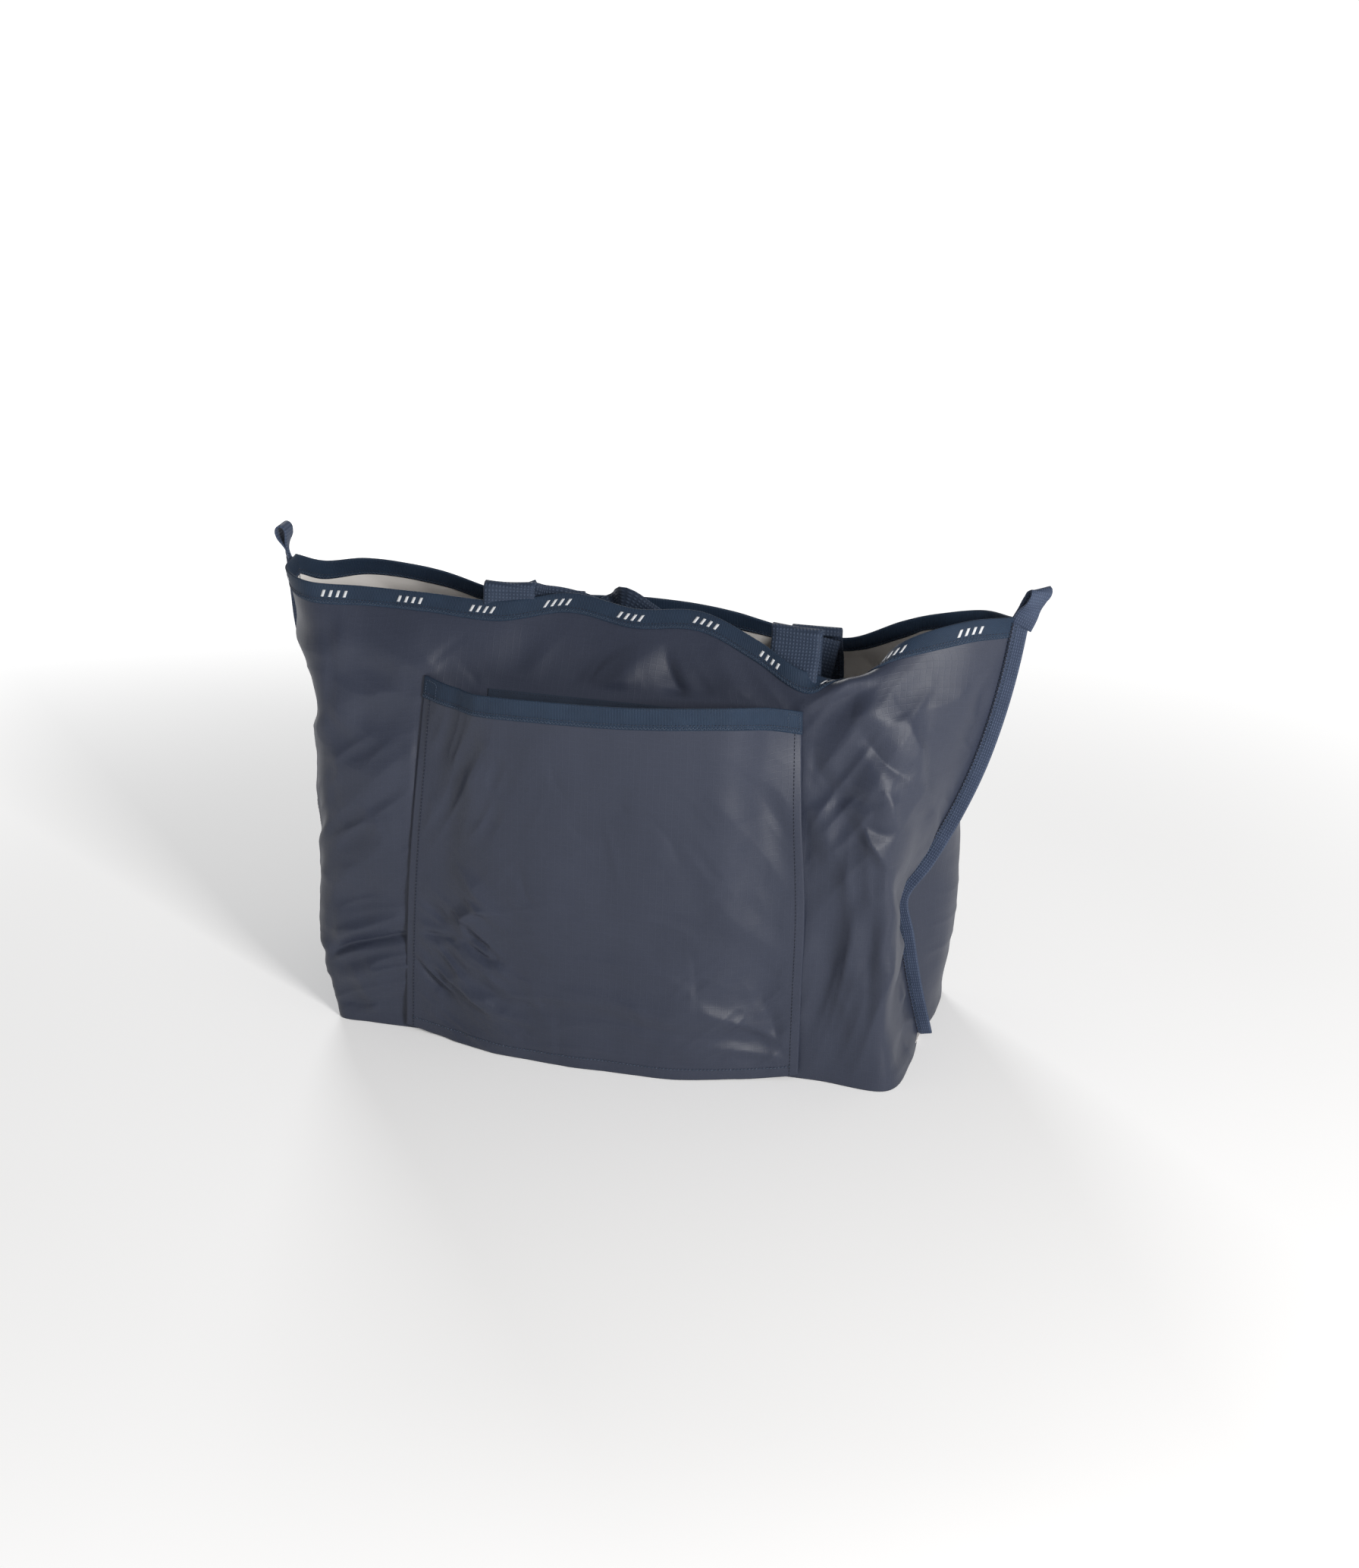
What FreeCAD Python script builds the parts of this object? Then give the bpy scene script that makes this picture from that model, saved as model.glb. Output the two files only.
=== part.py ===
import FreeCAD, Part
import math
import os

from FreeCAD import Vector

# Foldable nylon tote bag, standing empty and open. Millimetres. +Z is up, the origin is on the
# underside of the base, on the line between the two side seams. The rear panel, with the trolley
# sleeve and the zipped pocket, faces -Y.

# ---- driving dimensions -------------------------------------------------------------------------
FABRIC = 1.2            # panel cloth, with its coating and seam allowance
TAPE = 0.8              # grosgrain binding tape
TAPE_GAP = 0.1          # air between a folded tape and the cloth inside it
RIM_TAPE_WIDTH = 15.0
SLEEVE_TAPE_WIDTH = 16.0
SIDE_BINDING_WIDTH = 12.5
SIDE_BINDING_THICK = 3.0
SEAM_GAP = 1.6          # from the seam line to the binding's inner edge
WEBBING_WIDTH = 38.0    # handle webbing
WEBBING_THICK = 1.8
HANDLE_DEPTH = 225.0    # from a handle's fold down to the middle of its grip, at rest
HANDLE_CORNER = 60.0    # radius where a leg turns into the grip
FOLD_RADIUS = 4.0       # strap's turn over the rim
REAR_FOLD_Z = (350.0, 340.0)
FRONT_FOLD_Z = (328.0, 318.0)
REAR_HANDLE_X = (-95.0, 122.0)
FRONT_HANDLE_X = (-72.0, 127.0)
REAR_HANDLE_LEAN = 0.07     # y gained per mm of depth, so that a loop hangs clear of its panel
FRONT_HANDLE_LEAN = -0.07
SEWN_LENGTH = 42.0      # strap end stitched inside the panel
END_CLEARANCE = 4.2     # between a sewn end and the tape beside it
LEG_START = 3.0         # below a turn, where its end piece stops and its leg begins
GRIP_GAP = 0.3          # between a leg and the grip, which moves
LOOP_RISE = 21.0        # pull loop above its corner
LOOP_LEAN = 0.25        # outward per mm of rise
LOOP_WIDTH = 16.0
LOOP_THICK = 1.5
LOOP_PROFILE = [(0.0, 1.1), (0.25, 1.6), (0.5, 4.2), (0.8, 4.2), (1.0, 0.0)]  # share of rise, half gap
LOOP_FOOT_OUT = 7.0     # foot of a loop, outside its corner and above it
LOOP_FOOT_UP = 2.5
ZIP_Z = 270.0
ZIP_HALF_LENGTH = 95.0
SLIDER_X = -83.0
PULL_LENGTH = 22.0
POCKET_HALF_WIDTH = 105.0
POCKET_DEPTH = 140.0

# ---- shape of the cloth: rows from base to rim, points from the left seam to the right one -------
REAR_ROWS = [
    [(-220, 0, 0), (-219, -48, 0), (-210, -86, 0), (-150, -90, 0), (-100, -90, 0), (0, -90, 0),
     (100, -90, 0), (140, -90, 0), (206, -87, 0), (222, -48, 0), (229, 0, 0)],
    [(-234, 0, 60), (-238, -45, 60), (-224, -84, 60), (-150, -89, 60), (-100, -89, 60), (0, -89, 60),
     (100, -89, 60), (140, -89, 60), (203, -88, 60), (209, -46, 60), (214, 0, 60)],
    [(-244, 0, 120), (-244, -42, 120), (-226, -80, 120), (-150, -88, 120), (-100, -88, 120),
     (0, -88, 120), (100, -88, 120), (140, -88, 120), (200, -87, 120), (204, -44, 120), (202, 0, 120)],
    [(-251, 0, 200), (-246, -36, 200), (-224, -70, 200), (-148, -84, 200), (-100, -85, 200),
     (0, -85, 200), (100, -85, 200), (138, -82, 200), (196, -80, 200), (222, -38, 200), (240, 0, 200)],
    [(-265, 0, 285), (-256, -30, 285), (-226, -58, 285), (-142, -72, 285), (-100, -70, 285),
     (0, -70, 285), (100, -68, 285), (134, -60, 285), (184, -56, 285), (236, -30, 285), (265, 0, 285)],
    [(-274, 0, 347), (-264, -34, 345), (-225, -48, 342), (-150, -37, 339), (-100, -33, 340),
     (0, -27, 339), (85, -30, 329), (130, -50, 314), (186, -42, 328), (236, -22, 347), (274, 0, 350)],
]
FRONT_ROWS = [
    [(-220, 0, 0), (-221, 48, 0), (-212, 84, 0), (-120, 88, 0), (0, 88, 0), (120, 88, 0),
     (220, 86, 0), (232, 50, 0), (229, 0, 0)],
    [(-234, 0, 60), (-242, 44, 60), (-226, 80, 60), (-120, 88, 60), (0, 88, 60), (120, 88, 60),
     (222, 84, 60), (236, 52, 60), (214, 0, 60)],
    [(-244, 0, 120), (-248, 42, 120), (-230, 76, 120), (-120, 86, 120), (0, 86, 120),
     (120, 86, 120), (222, 82, 120), (238, 50, 120), (202, 0, 120)],
    [(-251, 0, 200), (-250, 38, 200), (-230, 68, 200), (-120, 78, 200), (0, 80, 200),
     (120, 78, 200), (216, 74, 200), (245, 42, 200), (240, 0, 200)],
    [(-265, 0, 285), (-258, 28, 285), (-230, 50, 285), (-120, 58, 285), (0, 58, 285),
     (120, 56, 285), (212, 52, 285), (250, 26, 285), (265, 0, 285)],
    [(-274, 0, 347), (-258, 18, 339), (-215, 34, 339), (-120, 37, 322), (0, 40, 325),
     (110, 38, 312), (205, 36, 333), (250, 20, 346), (274, 0, 350)],
]
SLEEVE_ROWS = [
    [(-160, -92.5, 4), (-132, -98, 1), (-100, -110, 0), (-60, -116, 0), (0, -118, 0), (60, -117, 0),
     (92, -109, 0), (120, -98, 1), (148, -92.5, 4)],
    [(-152, -95, 140), (-126, -100, 140), (-98, -109, 140), (-60, -114, 140), (0, -115, 140),
     (60, -113, 140), (90, -108, 140), (118, -101, 140), (146, -98, 140)],
    [(-143, -77, 286), (-118, -94, 287), (-98, -108, 289), (-60, -112, 291), (0, -113, 293),
     (60, -111, 297), (90, -105, 298), (112, -86, 293), (133, -67, 286)],
]

DEGREE = 2
RIM_STATIONS = 25
SEAM_STATIONS = 12
SEAM_START = 0.02       # share of the seam where its binding begins, above the base
PATCH_COLUMNS = 7
PATCH_ROWS = 4
ARC_STEPS = 6


# ---- helpers ------------------------------------------------------------------------------------
def vectors(rows):
    return [[Vector(*point) for point in row] for row in rows]


def clamped_knots(pole_count, degree):
    """Knots and multiplicities of a clamped uniform spline."""
    spans = pole_count - degree
    return list(range(spans + 1)), [degree + 1] + [1] * (spans - 1) + [degree + 1]


def surface_from(rows):
    """A smooth surface drawn towards a net of points, without overshoot."""
    u_knots, u_mults = clamped_knots(len(rows), DEGREE)
    v_knots, v_mults = clamped_knots(len(rows[0]), DEGREE)
    surface = Part.BSplineSurface()
    surface.buildFromPolesMultsKnots(rows, u_mults, v_mults, u_knots, v_knots, False, False, DEGREE, DEGREE)
    return surface


def curve_through(points):
    curve = Part.BSplineCurve()
    curve.interpolate(points)
    return curve.toShape()


def closed_solid(faces):
    shell = Part.makeShell(faces)
    shell.sewShape()
    solid = Part.makeSolid(shell)
    if solid.Volume < 0:
        solid.reverse()
    return solid


def sheet_between(outer, inner):
    """A thin solid between two surfaces with the same edges' layout."""
    faces = [outer.toShape(), inner.toShape()]
    u0, u1, v0, v1 = outer.bounds()
    a0, a1, b0, b1 = inner.bounds()
    for u, a in ((u0, a0), (u1, a1)):
        faces.append(Part.makeRuledSurface(outer.uIso(u).toShape(), inner.uIso(a).toShape()))
    for v, b in ((v0, b0), (v1, b1)):
        faces.append(Part.makeRuledSurface(outer.vIso(v).toShape(), inner.vIso(b).toShape()))
    return closed_solid(faces)


def band(stations):
    """A solid whose cross-sections are the given flat polygons, joined in order."""
    count = len(stations[0])
    edges = [curve_through([station[i] for station in stations]) for i in range(count)]
    faces = [Part.makeRuledSurface(edges[i], edges[(i + 1) % count]) for i in range(count)]
    for station in (stations[0], stations[-1]):
        faces.append(Part.Face(Part.makePolygon(station + [station[0]])))
    return closed_solid(faces)


def strap(path, across, width, thick):
    """A flat strap along a path. across is the direction of its width."""
    stations = []
    for i, point in enumerate(path):
        before = path[max(i - 1, 0)]
        after = path[min(i + 1, len(path) - 1)]
        along = (after - before).normalize()
        side = Vector(across) - along * along.dot(Vector(across))
        side.normalize()
        face = along.cross(side)
        stations.append([point + side * (a * width / 2) + face * (b * thick / 2)
                         for a, b in ((-1, -1), (1, -1), (1, 1), (-1, 1))])
    return band(stations)


def bent_strap(path, across, width, thick):
    """A flat strap whose path lies in the plane square to across, the direction of its width."""
    across = Vector(across).normalize()
    faces = []
    for i, point in enumerate(path):
        along = (path[min(i + 1, len(path) - 1)] - path[max(i - 1, 0)]).normalize()
        faces.append((point, along.cross(across) * (thick / 2)))
    outline = [p + f for p, f in faces] + [p - f for p, f in reversed(faces)]
    outline = [p - across * (width / 2) for p in outline]
    return Part.Face(Part.makePolygon(outline + outline[:1])).extrude(across * width)


def inward(surface, point):
    """The unit normal of a surface near a point, towards the middle of the bag."""
    u, v = surface.parameter(point)
    normal = surface.normal(u, v)
    return normal if normal.dot(Vector(-point.x, -point.y, 0)) > 0 else -normal


def offset_rows(surface, rows, distance, seam_ends):
    """Rows moved towards the inside. Seam ends move along X only, so two panels meet at y = 0."""
    moved = []
    for row in rows:
        new = []
        for i, point in enumerate(row):
            if seam_ends and i in (0, len(row) - 1):
                new.append(point - Vector(math.copysign(distance, point.x), 0, 0))
            else:
                new.append(point + inward(surface, point) * distance)
        moved.append(new)
    return moved


def point_at(surface, x, z):
    """The point of an upright surface at a given x and z, by Newton's method."""
    u0, u1, v0, v1 = surface.bounds()
    u, v = 0.5 * (u0 + u1), 0.5 * (v0 + v1)
    step = 1e-4
    for _ in range(30):
        here = surface.value(u, v)
        du = (surface.value(u + step, v) - here) * (1 / step)
        dv = (surface.value(u, v + step) - here) * (1 / step)
        gap_x, gap_z = x - here.x, z - here.z
        det = du.x * dv.z - du.z * dv.x
        u += (gap_x * dv.z - gap_z * dv.x) / det
        v += (gap_z * du.x - gap_x * du.z) / det
        u = min(max(u, u0), u1 - step)
        v = min(max(v, v0), v1 - step)
    return surface.value(u, v)


def patch_rows(surface, x_range, z_range, distance):
    """A grid of points on a panel, moved inwards by distance, for pieces that lie along it."""
    rows = []
    for r in range(PATCH_ROWS):
        z = z_range[0] + (z_range[1] - z_range[0]) * r / (PATCH_ROWS - 1)
        row = []
        for c in range(PATCH_COLUMNS):
            x = x_range[0] + (x_range[1] - x_range[0]) * c / (PATCH_COLUMNS - 1)
            point = point_at(surface, x, z)
            row.append(point + inward(surface, point) * distance)
        rows.append(row)
    return rows


def folded_tape(surface, width, cloth, start, end):
    """A tape folded over the top edge of a panel, from share start to share end of its length."""
    u0, u1, v0, v1 = surface.bounds()
    below_edge = u1 - 0.03 * (u1 - u0)
    stations = []
    for i in range(RIM_STATIONS):
        v = v0 + (start + (end - start) * i / (RIM_STATIONS - 1)) * (v1 - v0)
        top = surface.value(u1, v)
        down = (surface.value(below_edge, v) - top).normalize()
        into = inward(surface, top)
        into = (into - down * into.dot(down)).normalize()
        near, far = TAPE_GAP, TAPE_GAP + TAPE
        profile = [(width, -far), (-far, -far), (-far, cloth + far), (width, cloth + far),
                   (width, cloth + near), (-near, cloth + near), (-near, -near), (width, -near)]
        stations.append([top + down * a + into * b for a, b in profile])
    return band(stations)


def arc(centre, radius, start, end, x=0.0):
    """Points of an arc in a plane of constant x. Angles in degrees from +Y towards +Z."""
    points = []
    for i in range(ARC_STEPS + 1):
        angle = math.radians(start + (end - start) * i / ARC_STEPS)
        points.append(Vector(x, centre[0] + radius * math.cos(angle), centre[1] + radius * math.sin(angle)))
    return points


# ---- panels -------------------------------------------------------------------------------------
REAR = surface_from(vectors(REAR_ROWS))
FRONT = surface_from(vectors(FRONT_ROWS))
SLEEVE = surface_from(vectors(SLEEVE_ROWS))


def panel(surface, rows):
    lifted = [[p + Vector(0, 0, FABRIC) if r == 0 else p for p in row]
              for r, row in enumerate(vectors(rows))]
    outer = surface_from(lifted)
    inner = surface_from(offset_rows(outer, lifted, FABRIC, True))
    return sheet_between(outer, inner)


def base_panel():
    """The flat base, under the lower edges of both panels."""
    edges = [surface.uIso(surface.bounds()[0]).toShape() for surface in (REAR, FRONT)]
    return Part.Face(Part.Wire(edges)).extrude(Vector(0, 0, FABRIC))


def trolley_sleeve():
    rows = vectors(SLEEVE_ROWS)
    inner = surface_from(offset_rows(SLEEVE, rows, FABRIC, False))
    return sheet_between(SLEEVE, inner)


# ---- side seams and pull loops --------------------------------------------------------------------
def side_binding(side):
    """Webbing folded round the seam allowance: a flat fin along the seam."""
    u0, u1, v0, v1 = REAR.bounds()
    reach = side * (SIDE_BINDING_WIDTH / 2 + SEAM_GAP)
    path = []
    for i in range(SEAM_STATIONS):
        share = SEAM_START + (1 - SEAM_START) * i / (SEAM_STATIONS - 1)
        path.append(REAR.value(u0 + share * (u1 - u0), v0 if side < 0 else v1) + Vector(reach, 0, 0))
    return strap(path, (1, 0, 0), SIDE_BINDING_WIDTH, SIDE_BINDING_THICK)


def pull_loop(side):
    """A teardrop loop of webbing standing on the end of a side binding."""
    corner = REAR_ROWS[-1][0 if side < 0 else -1]
    foot = Vector(corner[0] + side * LOOP_FOOT_OUT, 0, corner[2] + LOOP_FOOT_UP)
    path = []
    for share, half_gap in LOOP_PROFILE + [(s, -g) for s, g in LOOP_PROFILE[-2::-1]]:
        rise = share * LOOP_RISE
        path.append(foot + Vector(side * LOOP_LEAN * rise - half_gap, 0, rise))
    return bent_strap(path, (0, 1, 0), LOOP_WIDTH, LOOP_THICK)


# ---- handles ------------------------------------------------------------------------------------
def fold_top(surface, x, toward):
    """Where a strap turns over above the rim: (y of the turn's centre, z of the centre)."""
    u0, u1, v0, v1 = surface.bounds()
    rim = min((surface.value(u1, v0 + (v1 - v0) * i / 400) for i in range(401)),
              key=lambda p: abs(p.x - x))
    start = rim.y + toward * (FABRIC + TAPE + 2 * TAPE_GAP + WEBBING_THICK / 2 + END_CLEARANCE)
    return rim, start + toward * FOLD_RADIUS


def handle_end(surface, x, toward, fold_z):
    """The sewn end of a strap, inside its panel, up to its turn over the rim."""
    rim, turn_y = fold_top(surface, x, toward)
    stand_off = FABRIC + TAPE + 2 * TAPE_GAP + WEBBING_THICK / 2 + END_CLEARANCE
    path = []
    for drop in (SEWN_LENGTH, SEWN_LENGTH * 0.66, SEWN_LENGTH * 0.33, 5.0):
        point = point_at(surface, x, rim.z - drop)
        path.append(Vector(x, point.y + toward * stand_off, rim.z - drop))
    angles = (180, 0) if toward > 0 else (0, 180)
    turn = arc((turn_y, fold_z - FOLD_RADIUS), FOLD_RADIUS, angles[0], angles[1], x)
    path += turn
    path.append(turn[-1] - Vector(0, 0, LEG_START - GRIP_GAP))
    half = WEBBING_WIDTH / 2
    left, right = (fold_top(surface, x + side * half, toward)[0] for side in (-1, 1))
    slant = math.degrees(math.atan2(right.y - left.y, WEBBING_WIDTH))
    end = bent_strap(path, (1, 0, 0), WEBBING_WIDTH, WEBBING_THICK)
    end.rotate(Vector(x, rim.y, 0), Vector(0, 0, 1), slant)
    return end


class HandlePlane:
    """The leaning plane that a hanging handle lies in: through both turns over the rim."""

    def __init__(self, xs, turn_ys, top_z, lean, toward):
        self.x0, self.y0, self.top_z, self.lean = xs[0], turn_ys[0], top_z, lean
        self.slant = (turn_ys[1] - turn_ys[0]) / (xs[1] - xs[0])
        self.thick = Vector(0, WEBBING_THICK * toward, 0)

    def piece(self, outline):
        """A flat piece of strap from its outline in x and depth."""
        points = [Vector(x, self.y0 + self.slant * (x - self.x0) + self.lean * d, self.top_z - d)
                  for x, d in outline + outline[:1]]
        return Part.Face(Part.makePolygon(points)).extrude(self.thick)


def leg_outline(x_leg, x_grip, start_depth):
    """A leg and its rounded corner, down to the grip: the outline in x and depth."""
    half = WEBBING_WIDTH / 2
    side = 1 if x_grip > x_leg else -1
    centre_x, centre_d = x_leg + side * HANDLE_CORNER, HANDLE_DEPTH - HANDLE_CORNER
    steps = [math.radians(90 * i / ARC_STEPS) for i in range(ARC_STEPS + 1)]
    outline = [(x_leg - side * half, start_depth)]
    for reach, turn in ((HANDLE_CORNER + half, steps), (HANDLE_CORNER - half, steps[::-1])):
        outline += [(centre_x - side * reach * math.cos(a), centre_d + reach * math.sin(a)) for a in turn]
    outline.append((x_leg + side * half, start_depth))
    return outline


def handle_pieces(surface, xs, toward, lean, fold_zs, name):
    """The five pieces of one handle: two sewn ends, two legs and the grip."""
    made = {}
    clear = FOLD_RADIUS - WEBBING_THICK / 2
    turn_ys = [fold_top(surface, x, toward)[1] + toward * clear for x in xs]
    top_z = max(fold_zs)
    plane = HandlePlane(xs, turn_ys, top_z, lean, toward)
    grips = (xs[0] + HANDLE_CORNER, xs[1] - HANDLE_CORNER)
    for side, x, x_grip, fold_z in zip(("left", "right"), xs, grips, fold_zs):
        made[f"{name}_{side}_end"] = handle_end(surface, x, toward, fold_z)
        outline = leg_outline(x, x_grip, top_z - fold_z + FOLD_RADIUS + LEG_START)
        made[f"{name}_{side}_leg"] = plane.piece(outline)
    low, high = HANDLE_DEPTH - WEBBING_WIDTH / 2, HANDLE_DEPTH + WEBBING_WIDTH / 2
    left, right = grips[0] + GRIP_GAP, grips[1] - GRIP_GAP
    made[f"{name}_grip"] = plane.piece([(left, low), (right, low), (right, high), (left, high)])
    return made


# ---- zipped pocket --------------------------------------------------------------------------------
ZIP_PLANE_Y = min(point_at(REAR, x, ZIP_Z).y for x in (-ZIP_HALF_LENGTH, 0.0, ZIP_HALF_LENGTH)) - 1.0
TAPE_HALF = 11.0


def zip_slope():
    """How far the panel leans back per mm of height at the zip, as a unit direction up the panel."""
    low, high = point_at(REAR, 0, ZIP_Z - TAPE_HALF), point_at(REAR, 0, ZIP_Z + TAPE_HALF)
    return Vector(0, high.y - low.y, high.z - low.z).normalize()


ZIP_UP = zip_slope()
ZIP_OUT = Vector(1, 0, 0).cross(ZIP_UP)
ZIP_ORIGIN = Vector(0, ZIP_PLANE_Y, ZIP_Z)


def zip_block(x0, x1, up0, up1, out0, out1):
    """A box in the zip's own frame: x along it, up the panel and out of it."""
    corner = ZIP_ORIGIN + ZIP_UP * up0 + ZIP_OUT * out0
    rise = ZIP_UP * (up1 - up0)
    left, right = Vector(x0, 0, 0), Vector(x1, 0, 0)
    bottom = [corner + left, corner + right, corner + right + rise, corner + left + rise]
    return Part.Face(Part.makePolygon(bottom + bottom[:1])).extrude(ZIP_OUT * (out1 - out0))


def zip_pieces():
    half = ZIP_HALF_LENGTH
    made = {
        "zip_lower_tape": zip_block(-half - 6, half + 6, -TAPE_HALF, -2.7, 0, 0.7),
        "zip_upper_tape": zip_block(-half - 6, half + 6, 2.7, TAPE_HALF, 0, 0.7),
        "zip_chain": zip_block(-half, half, -2.4, 2.4, -0.3, 1.2),
    }
    stops = [zip_block(a, a + 2.5, -2.6, 2.6, -0.4, 1.6) for a in (-half - 3, half + 0.5)]
    made["zip_stops"] = Part.makeCompound(stops)
    body = zip_block(SLIDER_X - 6, SLIDER_X + 6, -4.2, 4.2, 1.55, 3.2)
    bridge = zip_block(SLIDER_X - 1.5, SLIDER_X + 1.5, -2.4, 2.4, 3.2, 6.2)
    eye = zip_block(SLIDER_X - 2.0, SLIDER_X + 2.0, -1.2, 1.2, 3.2, 5.4)
    made["zip_slider"] = body.fuse(bridge.cut(eye)).Solids[0]
    made["zip_pull"] = zip_pull()
    return made


PULL_PIN_OUT = 4.35
PULL_PIN_RADIUS = 0.45
PULL_HALF_THICK = 0.6


def zip_pull():
    """A flat tab hanging from a pin through the slider's bridge, along the panel."""
    pin_end = ZIP_ORIGIN + ZIP_OUT * PULL_PIN_OUT + Vector(SLIDER_X - 3.5, 0, 0)
    solid = Part.makeCylinder(PULL_PIN_RADIUS, 7.0, pin_end, Vector(1, 0, 0))
    low, high = PULL_PIN_OUT - PULL_HALF_THICK, PULL_PIN_OUT + PULL_HALF_THICK
    blocks = [(-4.5, -3.0, -7.0, 0.7), (3.0, 4.5, -7.0, 0.7), (-4.5, 4.5, -PULL_LENGTH, -6.0)]
    for x0, x1, up0, up1 in blocks:
        solid = solid.fuse(zip_block(SLIDER_X + x0, SLIDER_X + x1, up0, up1, low, high))
    return solid.Solids[0]


def pocket_pouch():
    """The pocket's bag, hanging inside the rear panel below the zip."""
    x_range = (-POCKET_HALF_WIDTH, POCKET_HALF_WIDTH)
    z_range = (ZIP_Z - POCKET_DEPTH, ZIP_Z - 4)
    near = surface_from(patch_rows(REAR, x_range, z_range, FABRIC + 0.5))
    far = surface_from(patch_rows(REAR, x_range, z_range, FABRIC + 2.7))
    return sheet_between(near, far)


# ---- every node -----------------------------------------------------------------------------------
def build():
    nodes = {
        "rear_panel": panel(REAR, REAR_ROWS),
        "front_panel": panel(FRONT, FRONT_ROWS),
        "base_panel": base_panel(),
        "rear_rim_tape": folded_tape(REAR, RIM_TAPE_WIDTH, FABRIC, 0.02, 0.98),
        "front_rim_tape": folded_tape(FRONT, RIM_TAPE_WIDTH, FABRIC, 0.03, 0.97),
        "left_side_binding": side_binding(-1),
        "right_side_binding": side_binding(1),
        "left_pull_loop": pull_loop(-1),
        "right_pull_loop": pull_loop(1),
        "trolley_sleeve": trolley_sleeve(),
        "sleeve_top_binding": folded_tape(SLEEVE, SLEEVE_TAPE_WIDTH, FABRIC, 0.0, 1.0),
        "pocket_pouch": pocket_pouch(),
    }
    nodes.update(handle_pieces(REAR, REAR_HANDLE_X, 1, REAR_HANDLE_LEAN, REAR_FOLD_Z, "rear_handle"))
    nodes.update(handle_pieces(FRONT, FRONT_HANDLE_X, -1, FRONT_HANDLE_LEAN, FRONT_FOLD_Z, "front_handle"))
    nodes.update(zip_pieces())
    return nodes


os.makedirs("parts", exist_ok=True)
for node_name, node_shape in build().items():
    node_shape.exportStep(f"parts/{node_name}.step")
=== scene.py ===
import math

import bpy
import numpy as np
from mathutils import Matrix, Vector, noise


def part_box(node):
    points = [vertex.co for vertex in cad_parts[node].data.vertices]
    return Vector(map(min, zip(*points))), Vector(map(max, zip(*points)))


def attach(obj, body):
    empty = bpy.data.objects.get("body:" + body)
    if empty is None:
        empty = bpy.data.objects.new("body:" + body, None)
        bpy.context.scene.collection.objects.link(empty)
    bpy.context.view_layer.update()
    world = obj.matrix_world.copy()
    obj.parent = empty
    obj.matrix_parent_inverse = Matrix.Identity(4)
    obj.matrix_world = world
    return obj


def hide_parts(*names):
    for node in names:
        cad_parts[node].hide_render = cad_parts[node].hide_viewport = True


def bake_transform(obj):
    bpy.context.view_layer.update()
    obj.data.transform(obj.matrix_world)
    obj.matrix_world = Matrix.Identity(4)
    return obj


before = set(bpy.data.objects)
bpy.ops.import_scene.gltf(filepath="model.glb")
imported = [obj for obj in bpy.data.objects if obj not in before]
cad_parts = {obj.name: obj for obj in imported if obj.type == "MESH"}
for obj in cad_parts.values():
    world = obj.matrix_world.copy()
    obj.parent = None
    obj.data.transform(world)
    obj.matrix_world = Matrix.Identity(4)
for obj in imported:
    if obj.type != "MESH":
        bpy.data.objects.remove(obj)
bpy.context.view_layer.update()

# A foldable nylon tote bag, standing empty and open. Cloth is laid out in millimetres as nets of
# points, made into dense grids, creased, and turned into meshes in metres.

MM = 0.001
CLOTH = 0.5             # panel cloth
TAPE = 0.6              # grosgrain tape
RIM_TAPE_WIDTH = 15.0
SLEEVE_TAPE_WIDTH = 16.0
BINDING_WIDTH = 12.5
BINDING_THICK = 2.4
WEBBING_WIDTH = 38.0
WEBBING_THICK = 1.8
LOOP_WIDTH = 16.0

# ---- shape of the cloth, in millimetres ----------------------------------------------------------
# A net is a list of columns from the left seam to the right one. A column has one point for each
# level, from the base up, and its last point is on the rim. (x, y) takes its height from LEVELS.
LEVELS = (0, 45, 88, 119, 150, 190, 235, 262, 283, 316)
RIM_HEIGHT = 347

LEFT_SEAM = [(-219, 0), (-231, 0), (-239.5, 0), (-244.5, 0), (-249, 0), (-251, 0), (-249, 0), (-258, 0),
             (-264.5, 0), (-270, 0), (-274, 0, 347)]
RIGHT_SEAM = [(229, 0), (217, 0), (208, 0), (202, 0), (219, 0), (237, 0), (253, 0), (260, 0),
              (264.5, 0), (270, 0), (274, 0, 350)]


def upright(x, ys, top, rim):
    """A column that stays at one x up to the zip, with its last two points given."""
    return [(x, y) for y in ys] + [top, rim]


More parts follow.
